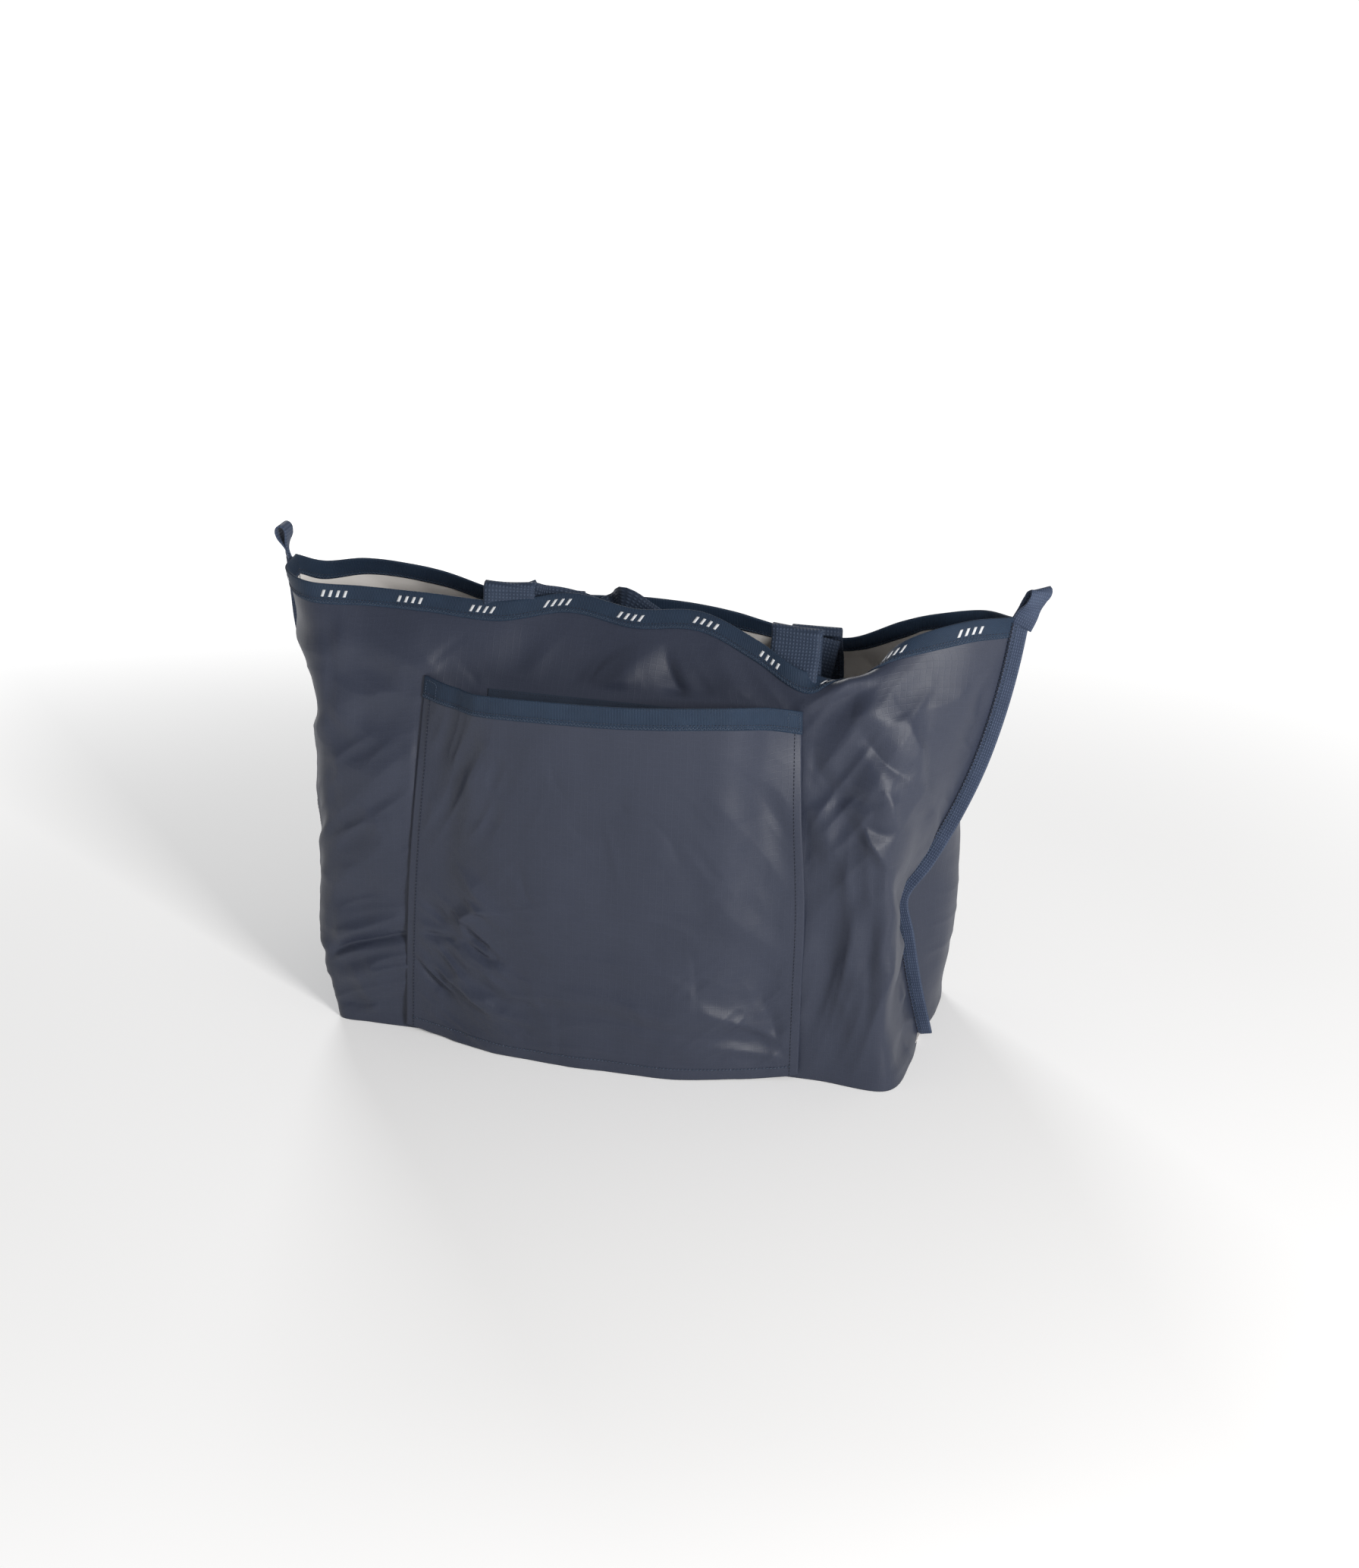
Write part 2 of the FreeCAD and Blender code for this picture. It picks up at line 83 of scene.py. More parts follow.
MIDDLE_YS = (-90, -89.5, -89, -88.5, -88, -86, -80, -74.6, -65.4)
REAR_NET = [
    LEFT_SEAM,
    [(-220, -46), (-233, -46), (-241, -44), (-243, -43), (-245, -42), (-247, -40), (-249, -37), (-251, -35),
     (-256, -34), (-262, -33), (-270, -31, 345.5)],
    [(-217, -87), (-227, -84), (-227, -83), (-227, -81), (-226, -80), (-226, -79), (-227, -75), (-229, -70),
     (-232, -66), (-236, -60), (-243, -53, 344)],
    [(-190, -90), (-190, -89.5), (-190, -89), (-190, -88), (-190, -88), (-189, -86), (-188, -79), (-189, -73),
     (-190, -68), (-195, -58), (-205, -44, 341.5)],
    [(-152, -90), (-152, -89.5), (-152, -89), (-151, -88), (-150, -87), (-148, -85), (-145, -80), (-143, -76),
     (-143, -71), (-150, -55), (-158, -38, 339)],
    upright(-100, MIDDLE_YS, (-100, -50), (-100, -36, 337.5)),
    upright(-50, MIDDLE_YS, (-50, -44), (-50, -22, 344)),
    upright(0, MIDDLE_YS, (0, -45), (0, -27, 338.3)),
    upright(50, MIDDLE_YS, (50, -44), (50, -24, 339.5)),
    upright(95, MIDDLE_YS, (95, -49, 308), (95, -38, 326)),
    [(133, -90), (133, -89.5), (133, -89), (134, -88.5), (134, -88), (135, -84), (134, -77), (133, -71),
     (133, -66, 281), (132, -60, 299), (132, -53, 312)],
    [(163, -90), (163, -89.5), (163, -89), (163, -88.5), (163, -88), (162, -85), (162, -79), (162, -74),
     (163, -69), (163, -60, 311), (167, -37, 302)],
    [(214, -93), (208, -89), (206, -88), (205, -87.5), (204, -87), (203, -85), (200, -80), (197, -74),
     (194, -68), (192, -53), (196, -34, 333)],
    [(228, -45), (216, -45), (209, -44.5), (207, -44), (211, -43), (223, -41), (236, -38), (241, -35),
     (244, -32), (244, -25), (240, -19, 349)],
    RIGHT_SEAM,
]
FRONT_YS = (88, 88, 87, 86, 84, 80, 71, 64, 57)
FRONT_NET = [
    LEFT_SEAM,
    [(-221, 48), (-236, 46), (-246, 44), (-248, 43), (-249, 42), (-250, 39), (-252, 35), (-255, 31),
     (-258, 28), (-259, 23), (-258, 20, 337)],
    [(-212, 85), (-222, 82), (-228, 79), (-230, 77), (-230, 75), (-230, 71), (-230, 62), (-230, 55),
     (-230, 49), (-229, 39), (-229, 30, 339)],
    upright(-170, FRONT_YS, (-170, 45), (-170, 38, 332)),
    upright(-120, FRONT_YS, (-120, 44, 306), (-120, 36.5, 321)),
    upright(-60, FRONT_YS, (-60, 43, 308), (-60, 38, 323)),
    upright(0, FRONT_YS, (0, 45, 309), (0, 41, 325)),
    upright(60, FRONT_YS, (60, 45, 307), (60, 40, 321)),
    upright(110, FRONT_YS, (110, 46, 300), (110, 38, 311)),
    upright(152, FRONT_YS, (152, 47, 299), (152, 40, 309)),
    upright(190, FRONT_YS, (189, 45, 310), (188, 39, 325)),
    [(236, 84), (238, 82), (239, 80), (239, 79), (238, 77), (232, 73), (224, 65), (219, 58),
     (216, 50), (215, 42), (218, 34, 336)],
    [(238, 45), (240, 46), (241, 47), (241, 47), (242, 46), (244, 42), (247, 36), (249, 31),
     (251, 26), (252, 22), (248, 24, 345)],
    RIGHT_SEAM,
]
SLEEVE_HEIGHTS = (0, 70, 140, 215, 286)
SLEEVE_NET = [
    [(-161, -93, 4), (-160, -92), (-157, -91), (-152, -85), (-148, -73, 287)],
    [(-132, -99, 1), (-129, -97), (-126, -96), (-122, -93), (-118, -92, 287)],
    [(-100, -110, 0.5), (-99, -109), (-98, -109), (-98, -108), (-98, -107, 289)],
    [(-60, -116), (-60, -115), (-60, -114), (-60, -113), (-60, -112, 291)],
    [(0, -118), (0, -116), (0, -115), (0, -114), (0, -113, 293)],
    [(60, -117), (60, -115), (60, -113), (60, -112), (60, -111, 297)],
    [(92, -109, 0.5), (91, -108), (90, -108), (90, -106), (90, -104, 298)],
    [(120, -99, 1), (119, -97), (118, -96), (115, -90), (112, -83, 293)],
    [(148, -93, 4), (147, -92), (146, -91), (139, -85), (133, -66)],
]


def hermite(points, at, where):
    """A smooth curve through points given at parameters, read at other parameters."""
    points, at, where = (np.asarray(v, float) for v in (points, at, where))
    slopes = np.gradient(points, at, axis=0)
    k = np.clip(np.searchsorted(at, where, side="right") - 1, 0, len(at) - 2)
    step = (at[k + 1] - at[k]).reshape((-1,) + (1,) * (points.ndim - 1))
    t = (where - at[k]).reshape(step.shape) / step
    s = 1 - t
    ends = points[k] * s * s * (1 + 2 * t) + points[k + 1] * t * t * (1 + 2 * s)
    return ends + step * t * s * (slopes[k] * s - slopes[k + 1] * t)


def net_array(net, levels):
    """The net as an array of rows by columns by xyz."""
    rows = []
    for r in range(len(net[0])):
        rows.append([p[r] if len(p[r]) == 3 else (*p[r], levels[r]) for p in net])
    return np.array(rows, float)


def chord(points):
    """Distance along a chain of points, from 0 to 1."""
    steps = np.linalg.norm(np.diff(points, axis=0), axis=1)
    run = np.concatenate([[0], np.cumsum(steps)])
    return run / run[-1]


def cloth_grid(net, levels, heights, rows, columns):
    """A dense grid of points over a net."""
    array = net_array(net, levels)
    share = np.array(heights, float) / heights[-1]
    tall = hermite(array, share, np.linspace(0, 1, rows))
    middle = array[len(array) // 2]
    return hermite(tall.transpose(1, 0, 2), chord(middle), np.linspace(0, 1, columns)).transpose(1, 0, 2)


HEIGHTS = LEVELS + (RIM_HEIGHT,)


def grid_normals(grid, outward=1):
    """Unit normals of a grid whose rows go up and whose columns go along +X."""
    up = np.gradient(grid, axis=0)
    along = np.gradient(grid, axis=1)
    normals = np.cross(along, up) * outward
    return normals / np.linalg.norm(normals, axis=-1, keepdims=True)


def smooth_step(value):
    t = np.clip(value, 0, 1)
    return t * t * (3 - 2 * t)


# ---- creases --------------------------------------------------------------------------------------
# A crease is its line over the cloth, its height along the outward normal, how far it reaches to
# the left and to the right of the line, and how sharp its top is, from 0 to 1.
REAR_CREASES = [
    ([(-205, 329), (-176, 314), (-156, 303), (-138, 288)], 3.4, 16, 26, 0.6),
    ([(-233, 322), (-205, 300), (-175, 284)], 2.0, 20, 22, 0.3),
    ([(-224, 163), (-203, 186), (-186, 204), (-152, 236)], 3.0, 30, 16, 0.4),
    ([(-236, 245), (-205, 262), (-160, 276)], 2.2, 22, 26, 0.3),
    ([(-226, 110), (-200, 128), (-160, 140)], 1.6, 26, 26, 0.2),
    ([(-18, 281), (-5, 296), (13, 311), (38, 328)], 3.6, 26, 20, 0.3),
    ([(25, 321), (30, 308), (36, 298), (50, 282)], -4.2, 9, 16, 0.7),
    ([(62, 330), (70, 310), (92, 288)], 2.2, 14, 20, 0.3),
    ([(-88, 330), (-80, 312), (-84, 290)], -2.4, 20, 30, 0.2),
    ([(133, 287), (147, 299), (163, 311), (186, 326)], 3.2, 8, 22, 0.7),
    ([(138, 284), (152, 294), (170, 304), (192, 312)], -3.0, 10, 16, 0.3),
    ([(168, 290), (190, 288), (208, 285)], 2.2, 26, 12, 0.4),
    ([(203, 292), (214, 272), (226, 250), (233, 226)], 4.6, 12, 24, 0.8),
    ([(178, 276), (190, 264), (203, 252), (214, 244)], -4.0, 14, 11, 0.7),
    ([(196, 240), (201, 232), (204, 220), (207, 208)], 3.4, 8, 14, 0.8),
    ([(160, 232), (178, 230), (198, 232)], -2.2, 12, 12, 0.3),
    ([(184, 214), (190, 202), (198, 190), (204, 178)], 3.8, 12, 9, 0.9),
    ([(184, 214), (196, 207), (206, 206)], -2.4, 8, 10, 0.6),
    ([(140, 262), (150, 243), (164, 224), (186, 196)], -2.6, 14, 22, 0.4),
    ([(146, 226), (158, 202), (172, 178), (184, 152)], 1.8, 18, 16, 0.3),
    ([(209, 190), (207, 150), (207, 96), (209, 52), (213, 12)], 2.6, 14, 12, 0.5),
    ([(176, 156), (170, 110), (168, 60), (172, 20)], -2.4, 24, 22, 0.2),
    ([(188, 124), (186, 84), (190, 40)], 1.4, 12, 14, 0.3),
    ([(-229, 50), (-208, 64), (-188, 71), (-150, 84)], -5.6, 11, 8, 0.8),
    ([(-228, 66), (-200, 80), (-160, 98)], 3.0, 12, 10, 0.5),
    ([(-222, 36), (-200, 40), (-168, 54)], 2.4, 14, 16, 0.4),
    ([(-216, 14), (-190, 18), (-164, 26)], -2.2, 8, 8, 0.6),
    ([(-206, 52), (-196, 30), (-186, 8)], 1.8, 12, 12, 0.4),
]
LEFT_GUSSET_CREASES = [
    ([(-84, 54), (-60, 46), (-30, 40), (-6, 42)], -5.0, 9, 12, 0.7),
    ([(-84, 70), (-50, 62), (-10, 58)], 2.6, 14, 12, 0.4),
    ([(-70, 250), (-40, 244), (-8, 238)], -2.6, 18, 16, 0.3),
    ([(-60, 300), (-30, 290), (-8, 262)], 1.8, 16, 20, 0.3),
    ([(-76, 180), (-40, 160), (-12, 120)], 1.8, 26, 20, 0.2),
]
RIGHT_GUSSET_CREASES = [
    ([(-76, 236), (-50, 222), (-26, 190), (-6, 140)], 2.4, 20, 16, 0.4),
    ([(-84, 170), (-50, 140), (-8, 120)], -3.4, 18, 20, 0.4),
    ([(-84, 84), (-44, 90), (-8, 112)], 2.6, 18, 16, 0.4),
    ([(-80, 20), (-40, 26), (-10, 50)], -2.0, 14, 18, 0.3),
]
FRONT_CREASES = [
    ([(-236, 320), (-196, 296), (-150, 262)], 2.6, 22, 26, 0.4),
    ([(-120, 316), (-104, 286), (-96, 250)], -3.0, 20, 24, 0.3),
    ([(-40, 314), (-30, 284), (-44, 246)], 2.4, 22, 20, 0.3),
    ([(66, 312), (58, 280), (76, 240)], -3.0, 22, 22, 0.4),
    ([(152, 304), (166, 280), (190, 246)], 3.6, 16, 24, 0.5),
    ([(232, 292), (206, 250), (186, 206)], -3.0, 18, 20, 0.4),
    ([(214, 190), (150, 168), (70, 160)], 2.2, 26, 26, 0.2),
    ([(-222, 180), (-160, 166), (-80, 172)], -2.0, 26, 26, 0.2),
    ([(-226, 52), (-180, 66), (-120, 70), (-50, 60)], -3.2, 16, 18, 0.5),
    ([(228, 44), (176, 60), (110, 60)], -3.0, 16, 18, 0.5),
    ([(-214, 16), (-150, 30), (-90, 26)], 2.0, 16, 12, 0.3),
    ([(206, 14), (150, 26), (80, 24)], 2.0, 16, 12, 0.3),
    ([(-20, 90), (20, 120), (80, 128)], 1.8, 22, 22, 0.2),
]
SLEEVE_CREASES = [
    ([(-140, 252), (-118, 240), (-102, 216), (-110, 180), (-118, 150)], 1.8, 20, 14, 0.4),
    ([(-118, 152), (-100, 132), (-88, 118)], 2.0, 14, 12, 0.4),
    ([(-150, 87), (-132, 87), (-116, 88)], -3.0, 6, 10, 0.9),
    ([(-80, 116), (-90, 119), (-104, 114), (-112, 103), (-112, 92)], 3.4, 7, 12, 0.8),
    ([(-112, 92), (-104, 84), (-92, 79), (-80, 78)], -3.6, 9, 7, 0.8),
    ([(-110, 98), (-98, 90), (-88, 88)], -3.0, 7, 8, 0.6),
    ([(-155, 66), (-138, 48), (-120, 36)], -3.0, 5, 9, 0.8),
    ([(-150, 66), (-117, 50), (-85, 35), (-60, 30)], 2.8, 10, 8, 0.6),
    ([(-142, 58), (-112, 42), (-84, 28)], -2.4, 7, 8, 0.7),
    ([(-96, 66), (-40, 66), (20, 58), (130, 46)], 2.2, 20, 16, 0.3),
    ([(-80, 46), (0, 44), (80, 36), (140, 30)], -1.8, 14, 12, 0.3),
    ([(-70, 108), (0, 100), (90, 86)], -1.4, 22, 20, 0.2),
    ([(146, 22), (124, 38), (100, 50), (66, 62)], 1.8, 8, 10, 0.6),
    ([(146, 16), (120, 22), (84, 28)], 1.5, 7, 8, 0.6),
    ([(140, 10), (130, 40), (118, 70)], -1.5, 8, 10, 0.4),
    ([(70, 236), (86, 220), (104, 198), (136, 152)], 2.0, 16, 18, 0.4),
    ([(88, 262), (108, 230), (136, 190)], -1.6, 14, 14, 0.3),
    ([(76, 160), (100, 130), (132, 104)], 1.6, 16, 18, 0.3),
]


# Crumpling comes in patches: centre, radius, direction of the folds in degrees, distance between
# folds, how many times longer than that they run, and height.
REAR_CRUMPLE = [
    ((196, 292), 62, 52, 34, 4.2, 3.2),
    ((182, 214), 62, 58, 30, 3.6, 3.2),
    ((205, 110), 84, 84, 30, 4.0, 3.8),
    ((-196, 292), 60, -28, 30, 3.4, 3.6),
    ((-196, 186), 66, 38, 28, 3.0, 3.4),
    ((-196, 60), 56, 22, 22, 3.2, 4.2),
    ((-10, 316), 70, 48, 40, 2.8, 2.6),
    ((90, 312), 46, -40, 30, 2.6, 2.2),
]
FRONT_CRUMPLE = [
    ((-190, 270), 90, -40, 40, 3.8, 3.0),
    ((190, 270), 90, 45, 40, 3.8, 3.0),
    ((0, 260), 110, 70, 48, 3.2, 2.4),
    ((-150, 70), 90, 14, 26, 3.4, 3.6),
    ((150, 70), 90, -14, 26, 3.4, 3.6),
]
GUSSET_CRUMPLE = [
    ((-40, 270), 70, -30, 28, 3.0, 3.4),
    ((-40, 160), 80, -60, 28, 3.0, 3.2),
    ((-40, 50), 60, -10, 22, 3.2, 3.6),
]
SLEEVE_CRUMPLE = [
    ((-122, 220), 50, 66, 26, 3.4, 3.4),
    ((-116, 96), 44, -34, 20, 3.0, 3.4),
    ((-108, 44), 44, -30, 16, 3.6, 3.2),
    ((10, 50), 90, -6, 24, 4.0, 1.9),
    ((110, 52), 52, 42, 22, 3.2, 2.6),
    ((104, 190), 62, -58, 34, 3.4, 1.2),
]


def lattice_noise(place, rng):
    """Smooth noise from 0 to 1 over a plane, from random values on a square lattice."""
    low = place.min(0)
    cell, share = np.divmod(place - low, 1.0)
    cell = cell.astype(int)
    table = rng.random((cell[:, 0].max() + 2, cell[:, 1].max() + 2))
    a, b = smooth_step(share).T
    near = table[cell[:, 0], cell[:, 1]] * (1 - a) + table[cell[:, 0] + 1, cell[:, 1]] * a
    far = table[cell[:, 0], cell[:, 1] + 1] * (1 - a) + table[cell[:, 0] + 1, cell[:, 1] + 1] * a
    return near * (1 - b) + far * b


def crumple(flat, patches, seed):
    """Ridged folds, sharp along their tops, in each patch."""
    rng = np.random.default_rng(seed)
    total = np.zeros(len(flat))
    for centre, radius, degrees, pitch, stretch, height in patches:
        away = flat - np.array(centre)
        window = np.exp(-(away ** 2).sum(1) / radius ** 2)
        angle = math.radians(degrees)
        along = away @ (math.cos(angle), math.sin(angle))
        side = away @ (-math.sin(angle), math.cos(angle)) + 0.0025 * along ** 2 * rng.uniform(-1, 1)
        for size in (1.0, 0.45):
            place = np.stack([along / (pitch * stretch), side / pitch], -1) / size
            ridge = 1 - np.abs(2 * lattice_noise(place, rng) - 1) * 1.6
            total += height * size * window * (np.clip(ridge, -0.4, 1) - 0.35)
    return total


def crease_field(flat, creases):
    """Height of all the creases at each point, given in the plane that their lines lie in."""
    total = np.zeros(len(flat))
    pick = np.arange(len(flat))
    for line, height, left, right, sharp in creases:
        chain = np.array(line, float)
        chain = hermite(chain, chord(chain), np.linspace(0, 1, 16))
        span = np.diff(chain, axis=0)
        away = flat[:, None] - chain[:-1]
        share = np.clip((away * span).sum(2) / (span ** 2).sum(1), 0, 1)
        gap = np.linalg.norm(away - share[..., None] * span, axis=2)
        near = gap.argmin(1)
        along = (near + share[pick, near]) / len(span)
        side = span[near, 0] * away[pick, near, 1] - span[near, 1] * away[pick, near, 0]
        reach = np.clip(gap[pick, near] / np.where(side > 0, left, right), 0, 1)
        crisp = (1 - reach) ** 2
        profile = crisp * (sharp + (1 - sharp) * (1 + 2 * reach))
        total += height * profile * np.sin(np.pi * np.clip(along, 0.02, 0.98)) ** 0.7
    return total


CREASE_GAIN = 1.1


def scattered_creases(seed, count, x_range, z_range):
    """Many faint, short creases, as crumpled cloth keeps them."""
    rng = np.random.default_rng(seed)
    made = []
    for _ in range(count):
        middle = np.array([rng.uniform(*x_range), rng.uniform(*z_range)])
        angle, half = rng.uniform(0, math.pi), rng.uniform(10, 34)
        reach = half * np.array([math.cos(angle), math.sin(angle)])
        bow = np.array([-reach[1], reach[0]]) * rng.uniform(-0.3, 0.3)
        line = [tuple(middle - reach), tuple(middle + bow), tuple(middle + reach)]
        height = rng.uniform(0.25, 0.75) * rng.choice([-1, 1])
        made.append((line, height, rng.uniform(4, 10), rng.uniform(5, 14), rng.uniform(0.3, 0.9)))
    return made


def undulation(grid, scale, height, seed):
    """Gentle unevenness of slack cloth."""
    flat = grid.reshape(-1, 3) / scale
    values = [noise.noise(Vector((p[0] + seed, p[1] * 0.5, p[2] * 0.7 + seed))) for p in flat]
    return height * np.array(values).reshape(grid.shape[:2])


def creased(grid, outward, field, pinned):
    """A grid with its creases pushed along the normals, held where pinned is 0."""
    normals = grid_normals(grid, outward)
    return grid + normals * (field * pinned)[..., None]


RIM_CALM = 0.8          # share of the creasing that the bound rim takes out


def held_edges(grid, rim_free=True):
    """1 in the middle of a panel, and 0 at its side seams and its base."""
    rows, columns = grid.shape[:2]
    across = np.linspace(0, 1, columns)
    up = np.linspace(0, 1, rows)
    sides = smooth_step(np.minimum(across, 1 - across) * 28)
    foot = smooth_step(up * 22)
    top = 1 - RIM_CALM * smooth_step((up - 0.84) / 0.1) if rim_free else smooth_step((1 - up) * 22)
    return (foot * top)[:, None] * sides[None, :]


REAR_FAINT = scattered_creases(11, 60, (-235, 235), (10, 330))
FRONT_FAINT = scattered_creases(23, 70, (-235, 235), (10, 310))
SLEEVE_FAINT = scattered_creases(37, 36, (-140, 135), (10, 270))


def rear_grid():
    grid = cloth_grid(REAR_NET, LEVELS, HEIGHTS, 230, 380)
    rows, columns = grid.shape[:2]
    x, y, z = (grid[..., i] for i in range(3))
    faces_back = smooth_step((-y - 24) / 14) * smooth_step((215 - np.abs(x)) / 12 + 1)
    behind_sleeve = smooth_step((z - 262) / 14) + smooth_step((np.abs(x + 6) - 144) / 8)
    main = crease_field(grid[..., [0, 2]].reshape(-1, 2), REAR_CREASES).reshape(rows, columns)
    xz = grid[..., [0, 2]].reshape(-1, 2)
    faint = crease_field(xz, REAR_FAINT) + crumple(xz, REAR_CRUMPLE, 5)
    main = (CREASE_GAIN * main + faint.reshape(rows, columns)) * faces_back * np.clip(behind_sleeve, 0, 1)
    yz = grid[..., [1, 2]].reshape(-1, 2)
    gusset = crumple(yz, GUSSET_CRUMPLE, 9).reshape(rows, columns) * (1 - faces_back)
    left = (crease_field(yz, LEFT_GUSSET_CREASES).reshape(rows, columns) + gusset) * smooth_step((-x - 218) / 12)
    right = crease_field(yz, RIGHT_GUSSET_CREASES).reshape(rows, columns) + gusset
    right = right * smooth_step((x - 200) / 12) * (y > -86)
    slack = undulation(grid, 46, 2.2, 3.1) * np.clip(behind_sleeve, 0, 1)
    fine = undulation(grid, 15, 0.5, 8.3) * np.clip(behind_sleeve, 0, 1)
    zip_zone = smooth_step((np.abs(z - 276) - 9) / 8) + smooth_step((np.abs(x) - 104) / 10)
    field = (main + left + right + slack + fine) * np.clip(zip_zone, 0, 1)
    return creased(grid, 1, field, held_edges(grid))


def front_grid():
    grid = cloth_grid(FRONT_NET, LEVELS, HEIGHTS, 210, 360)
    rows, columns = grid.shape[:2]
    main = crease_field(grid[..., [0, 2]].reshape(-1, 2), FRONT_CREASES).reshape(rows, columns)
    xz = grid[..., [0, 2]].reshape(-1, 2)
    faint = (crease_field(xz, FRONT_FAINT) + crumple(xz, FRONT_CRUMPLE, 15)).reshape(rows, columns)
    main = (CREASE_GAIN * main + faint) * smooth_step((grid[..., 1] - 18) / 14)
    field = main + undulation(grid, 50, 3.0, 17.7) + undulation(grid, 15, 0.5, 5.9)
    return creased(grid, -1, field, held_edges(grid))


def sleeve_grid():
    grid = cloth_grid(SLEEVE_NET, SLEEVE_HEIGHTS, SLEEVE_HEIGHTS, 200, 240)
    rows, columns = grid.shape[:2]
    main = crease_field(grid[..., [0, 2]].reshape(-1, 2), SLEEVE_CREASES).reshape(rows, columns)
    xz = grid[..., [0, 2]].reshape(-1, 2)
    faint = (crease_field(xz, SLEEVE_FAINT) + crumple(xz, SLEEVE_CRUMPLE, 25)).reshape(rows, columns)
    field = CREASE_GAIN * main + faint + undulation(grid, 52, 1.8, 31.3) + undulation(grid, 16, 0.35, 2.2)
    across = np.linspace(0, 1, columns)
    sides = smooth_step(np.minimum(across, 1 - across) * 16)
    return creased(grid, 1, field, np.ones((rows, 1)) * sides)


# ---- meshes ---------------------------------------------------------------------------------------
def new_object(name, vertices, faces, uvs=None):
    """An object from points in millimetres. uvs has one pair in metres for each vertex."""
    mesh = bpy.data.meshes.new(name)
    vertices = np.asarray(vertices, float).reshape(-1, 3) * MM
    mesh.from_pydata(vertices.tolist(), [], faces)
    if uvs is not None:
        layer = mesh.uv_layers.new(name="weave")
        corners = np.empty(len(mesh.loops), dtype=np.int32)
        mesh.loops.foreach_get("vertex_index", corners)
        layer.data.foreach_set("uv", np.asarray(uvs, np.float32).reshape(-1, 2)[corners].ravel())
    mesh.polygons.foreach_set("use_smooth", [True] * len(mesh.polygons))
    mesh.update()
    obj = bpy.data.objects.new(name, mesh)
    bpy.context.scene.collection.objects.link(obj)
    return obj


def quads(rows, columns, flip=False, closed=False):
    """Faces of a grid of vertices. closed joins the last column to the first."""
    i = np.arange(rows - 1)[:, None]
    j = np.arange(columns if closed else columns - 1)[None, :]
    a = i * columns + j
    b = i * columns + (j + 1) % columns
    corners = [a, b, b + columns, a + columns]
    if flip:
        corners = corners[::-1]
    return np.stack(corners, -1).reshape(-1, 4).tolist()


def flat_lengths(grid):
    """Distances over the cloth, in metres: along the rows and up the columns."""
    along = np.linalg.norm(np.diff(grid, axis=1), axis=2)
    up = np.linalg.norm(np.diff(grid, axis=0), axis=2)
    u = np.concatenate([np.zeros((len(grid), 1)), np.cumsum(along, axis=1)], axis=1)
    v = np.concatenate([np.zeros((1, grid.shape[1])), np.cumsum(up, axis=0)], axis=0)
    return np.stack([u - u[:, u.shape[1] // 2][:, None], v], -1) * MM


def cloth_piece(name, grid, flip, thickness, materials, offset=-1.0):
    """A sheet of cloth, with the second material on its back."""
    piece = new_object(name, grid, quads(*grid.shape[:2], flip=flip), flat_lengths(grid))
    for material in materials:
        piece.data.materials.append(material)
    shell = piece.modifiers.new("cloth", "SOLIDIFY")
    shell.thickness = thickness * MM
    shell.offset = offset
    shell.use_even_offset = False
    shell.material_offset = len(materials) - 1
    return piece


def sweep(path, across, width, thick, edge=0.28):
    """Rings of a flat strap along a path: rings by points by xyz, and their place over the strap."""
    path, across = np.asarray(path, float), np.asarray(across, float)
    along = np.gradient(path, axis=0)
    along /= np.linalg.norm(along, axis=1, keepdims=True)
    across = across - along * (across * along).sum(1, keepdims=True)
    across /= np.linalg.norm(across, axis=1, keepdims=True)
    face = np.cross(along, across)
    half, flat = width / 2, width / 2 - edge * thick
    top = [(a, thick / 2) for a in np.linspace(-flat, flat, 9)]
    profile = top + [(half, 0.0)] + [(a, -b) for a, b in reversed(top)] + [(-half, 0.0)]
    rings = np.stack([path + across * a + face * b for a, b in profile], 1)
    run = np.concatenate([[0], np.cumsum(np.linalg.norm(np.diff(path, axis=0), axis=1))])
    place = np.stack([np.stack([np.full(len(run), a), run], -1) for a, b in profile], 1) * MM
    return rings, place


def strap_piece(name, path, across, width, thick, material):
    """A closed strap with rounded edges."""
    rings, place = sweep(path, across, width, thick)
    count, around = rings.shape[:2]
    faces = quads(count, around, flip=True, closed=True)
    faces.append(list(range(around)))
    faces.append([(count - 1) * around + k for k in reversed(range(around))])
    piece = new_object(name, rings, faces, place)
    piece.data.materials.append(material)
    return piece


def block_mesh(name, blocks, faces, material):
    """One object from many small solids that share one layout of vertices and faces."""
    blocks = np.asarray(blocks, float)
    size = blocks.shape[1]
    all_faces = [[corner + k * size for corner in face] for k in range(len(blocks)) for face in faces]
    piece = new_object(name, blocks, all_faces)
    piece.data.materials.append(material)
    return piece


# ---- stitching ------------------------------------------------------------------------------------
STITCH_SIDES = 5
THREAD = 0.3            # radius


def resample(points, normals, pitch):
    """Points at an even pitch along a line, with their normals."""
    run = np.concatenate([[0], np.cumsum(np.linalg.norm(np.diff(points, axis=0), axis=1))])
    where = np.arange(0, run[-1], pitch)
    read = [np.stack([np.interp(where, run, values[:, k]) for k in range(3)], -1) for values in (points, normals)]
    return read[0], read[1] / np.linalg.norm(read[1], axis=1, keepdims=True)


def stitch_ends(points, normals, pitch, fill, zigzag):
    """Start and end of each stitch. zigzag is how far the line swings to each side."""
    centre, up = resample(points, normals, pitch)
    along = np.gradient(centre, axis=0)
    along /= np.linalg.norm(along, axis=1, keepdims=True)
    side = np.cross(along, up)
    swing = np.where(np.arange(len(centre)) % 2, 1.0, -1.0)[:, None] * zigzag
    line = centre + side * swing
    step = (line[1:] - line[:-1]) * (1 - fill) / 2
    return line[:-1] + step, line[1:] - step, up[:-1]


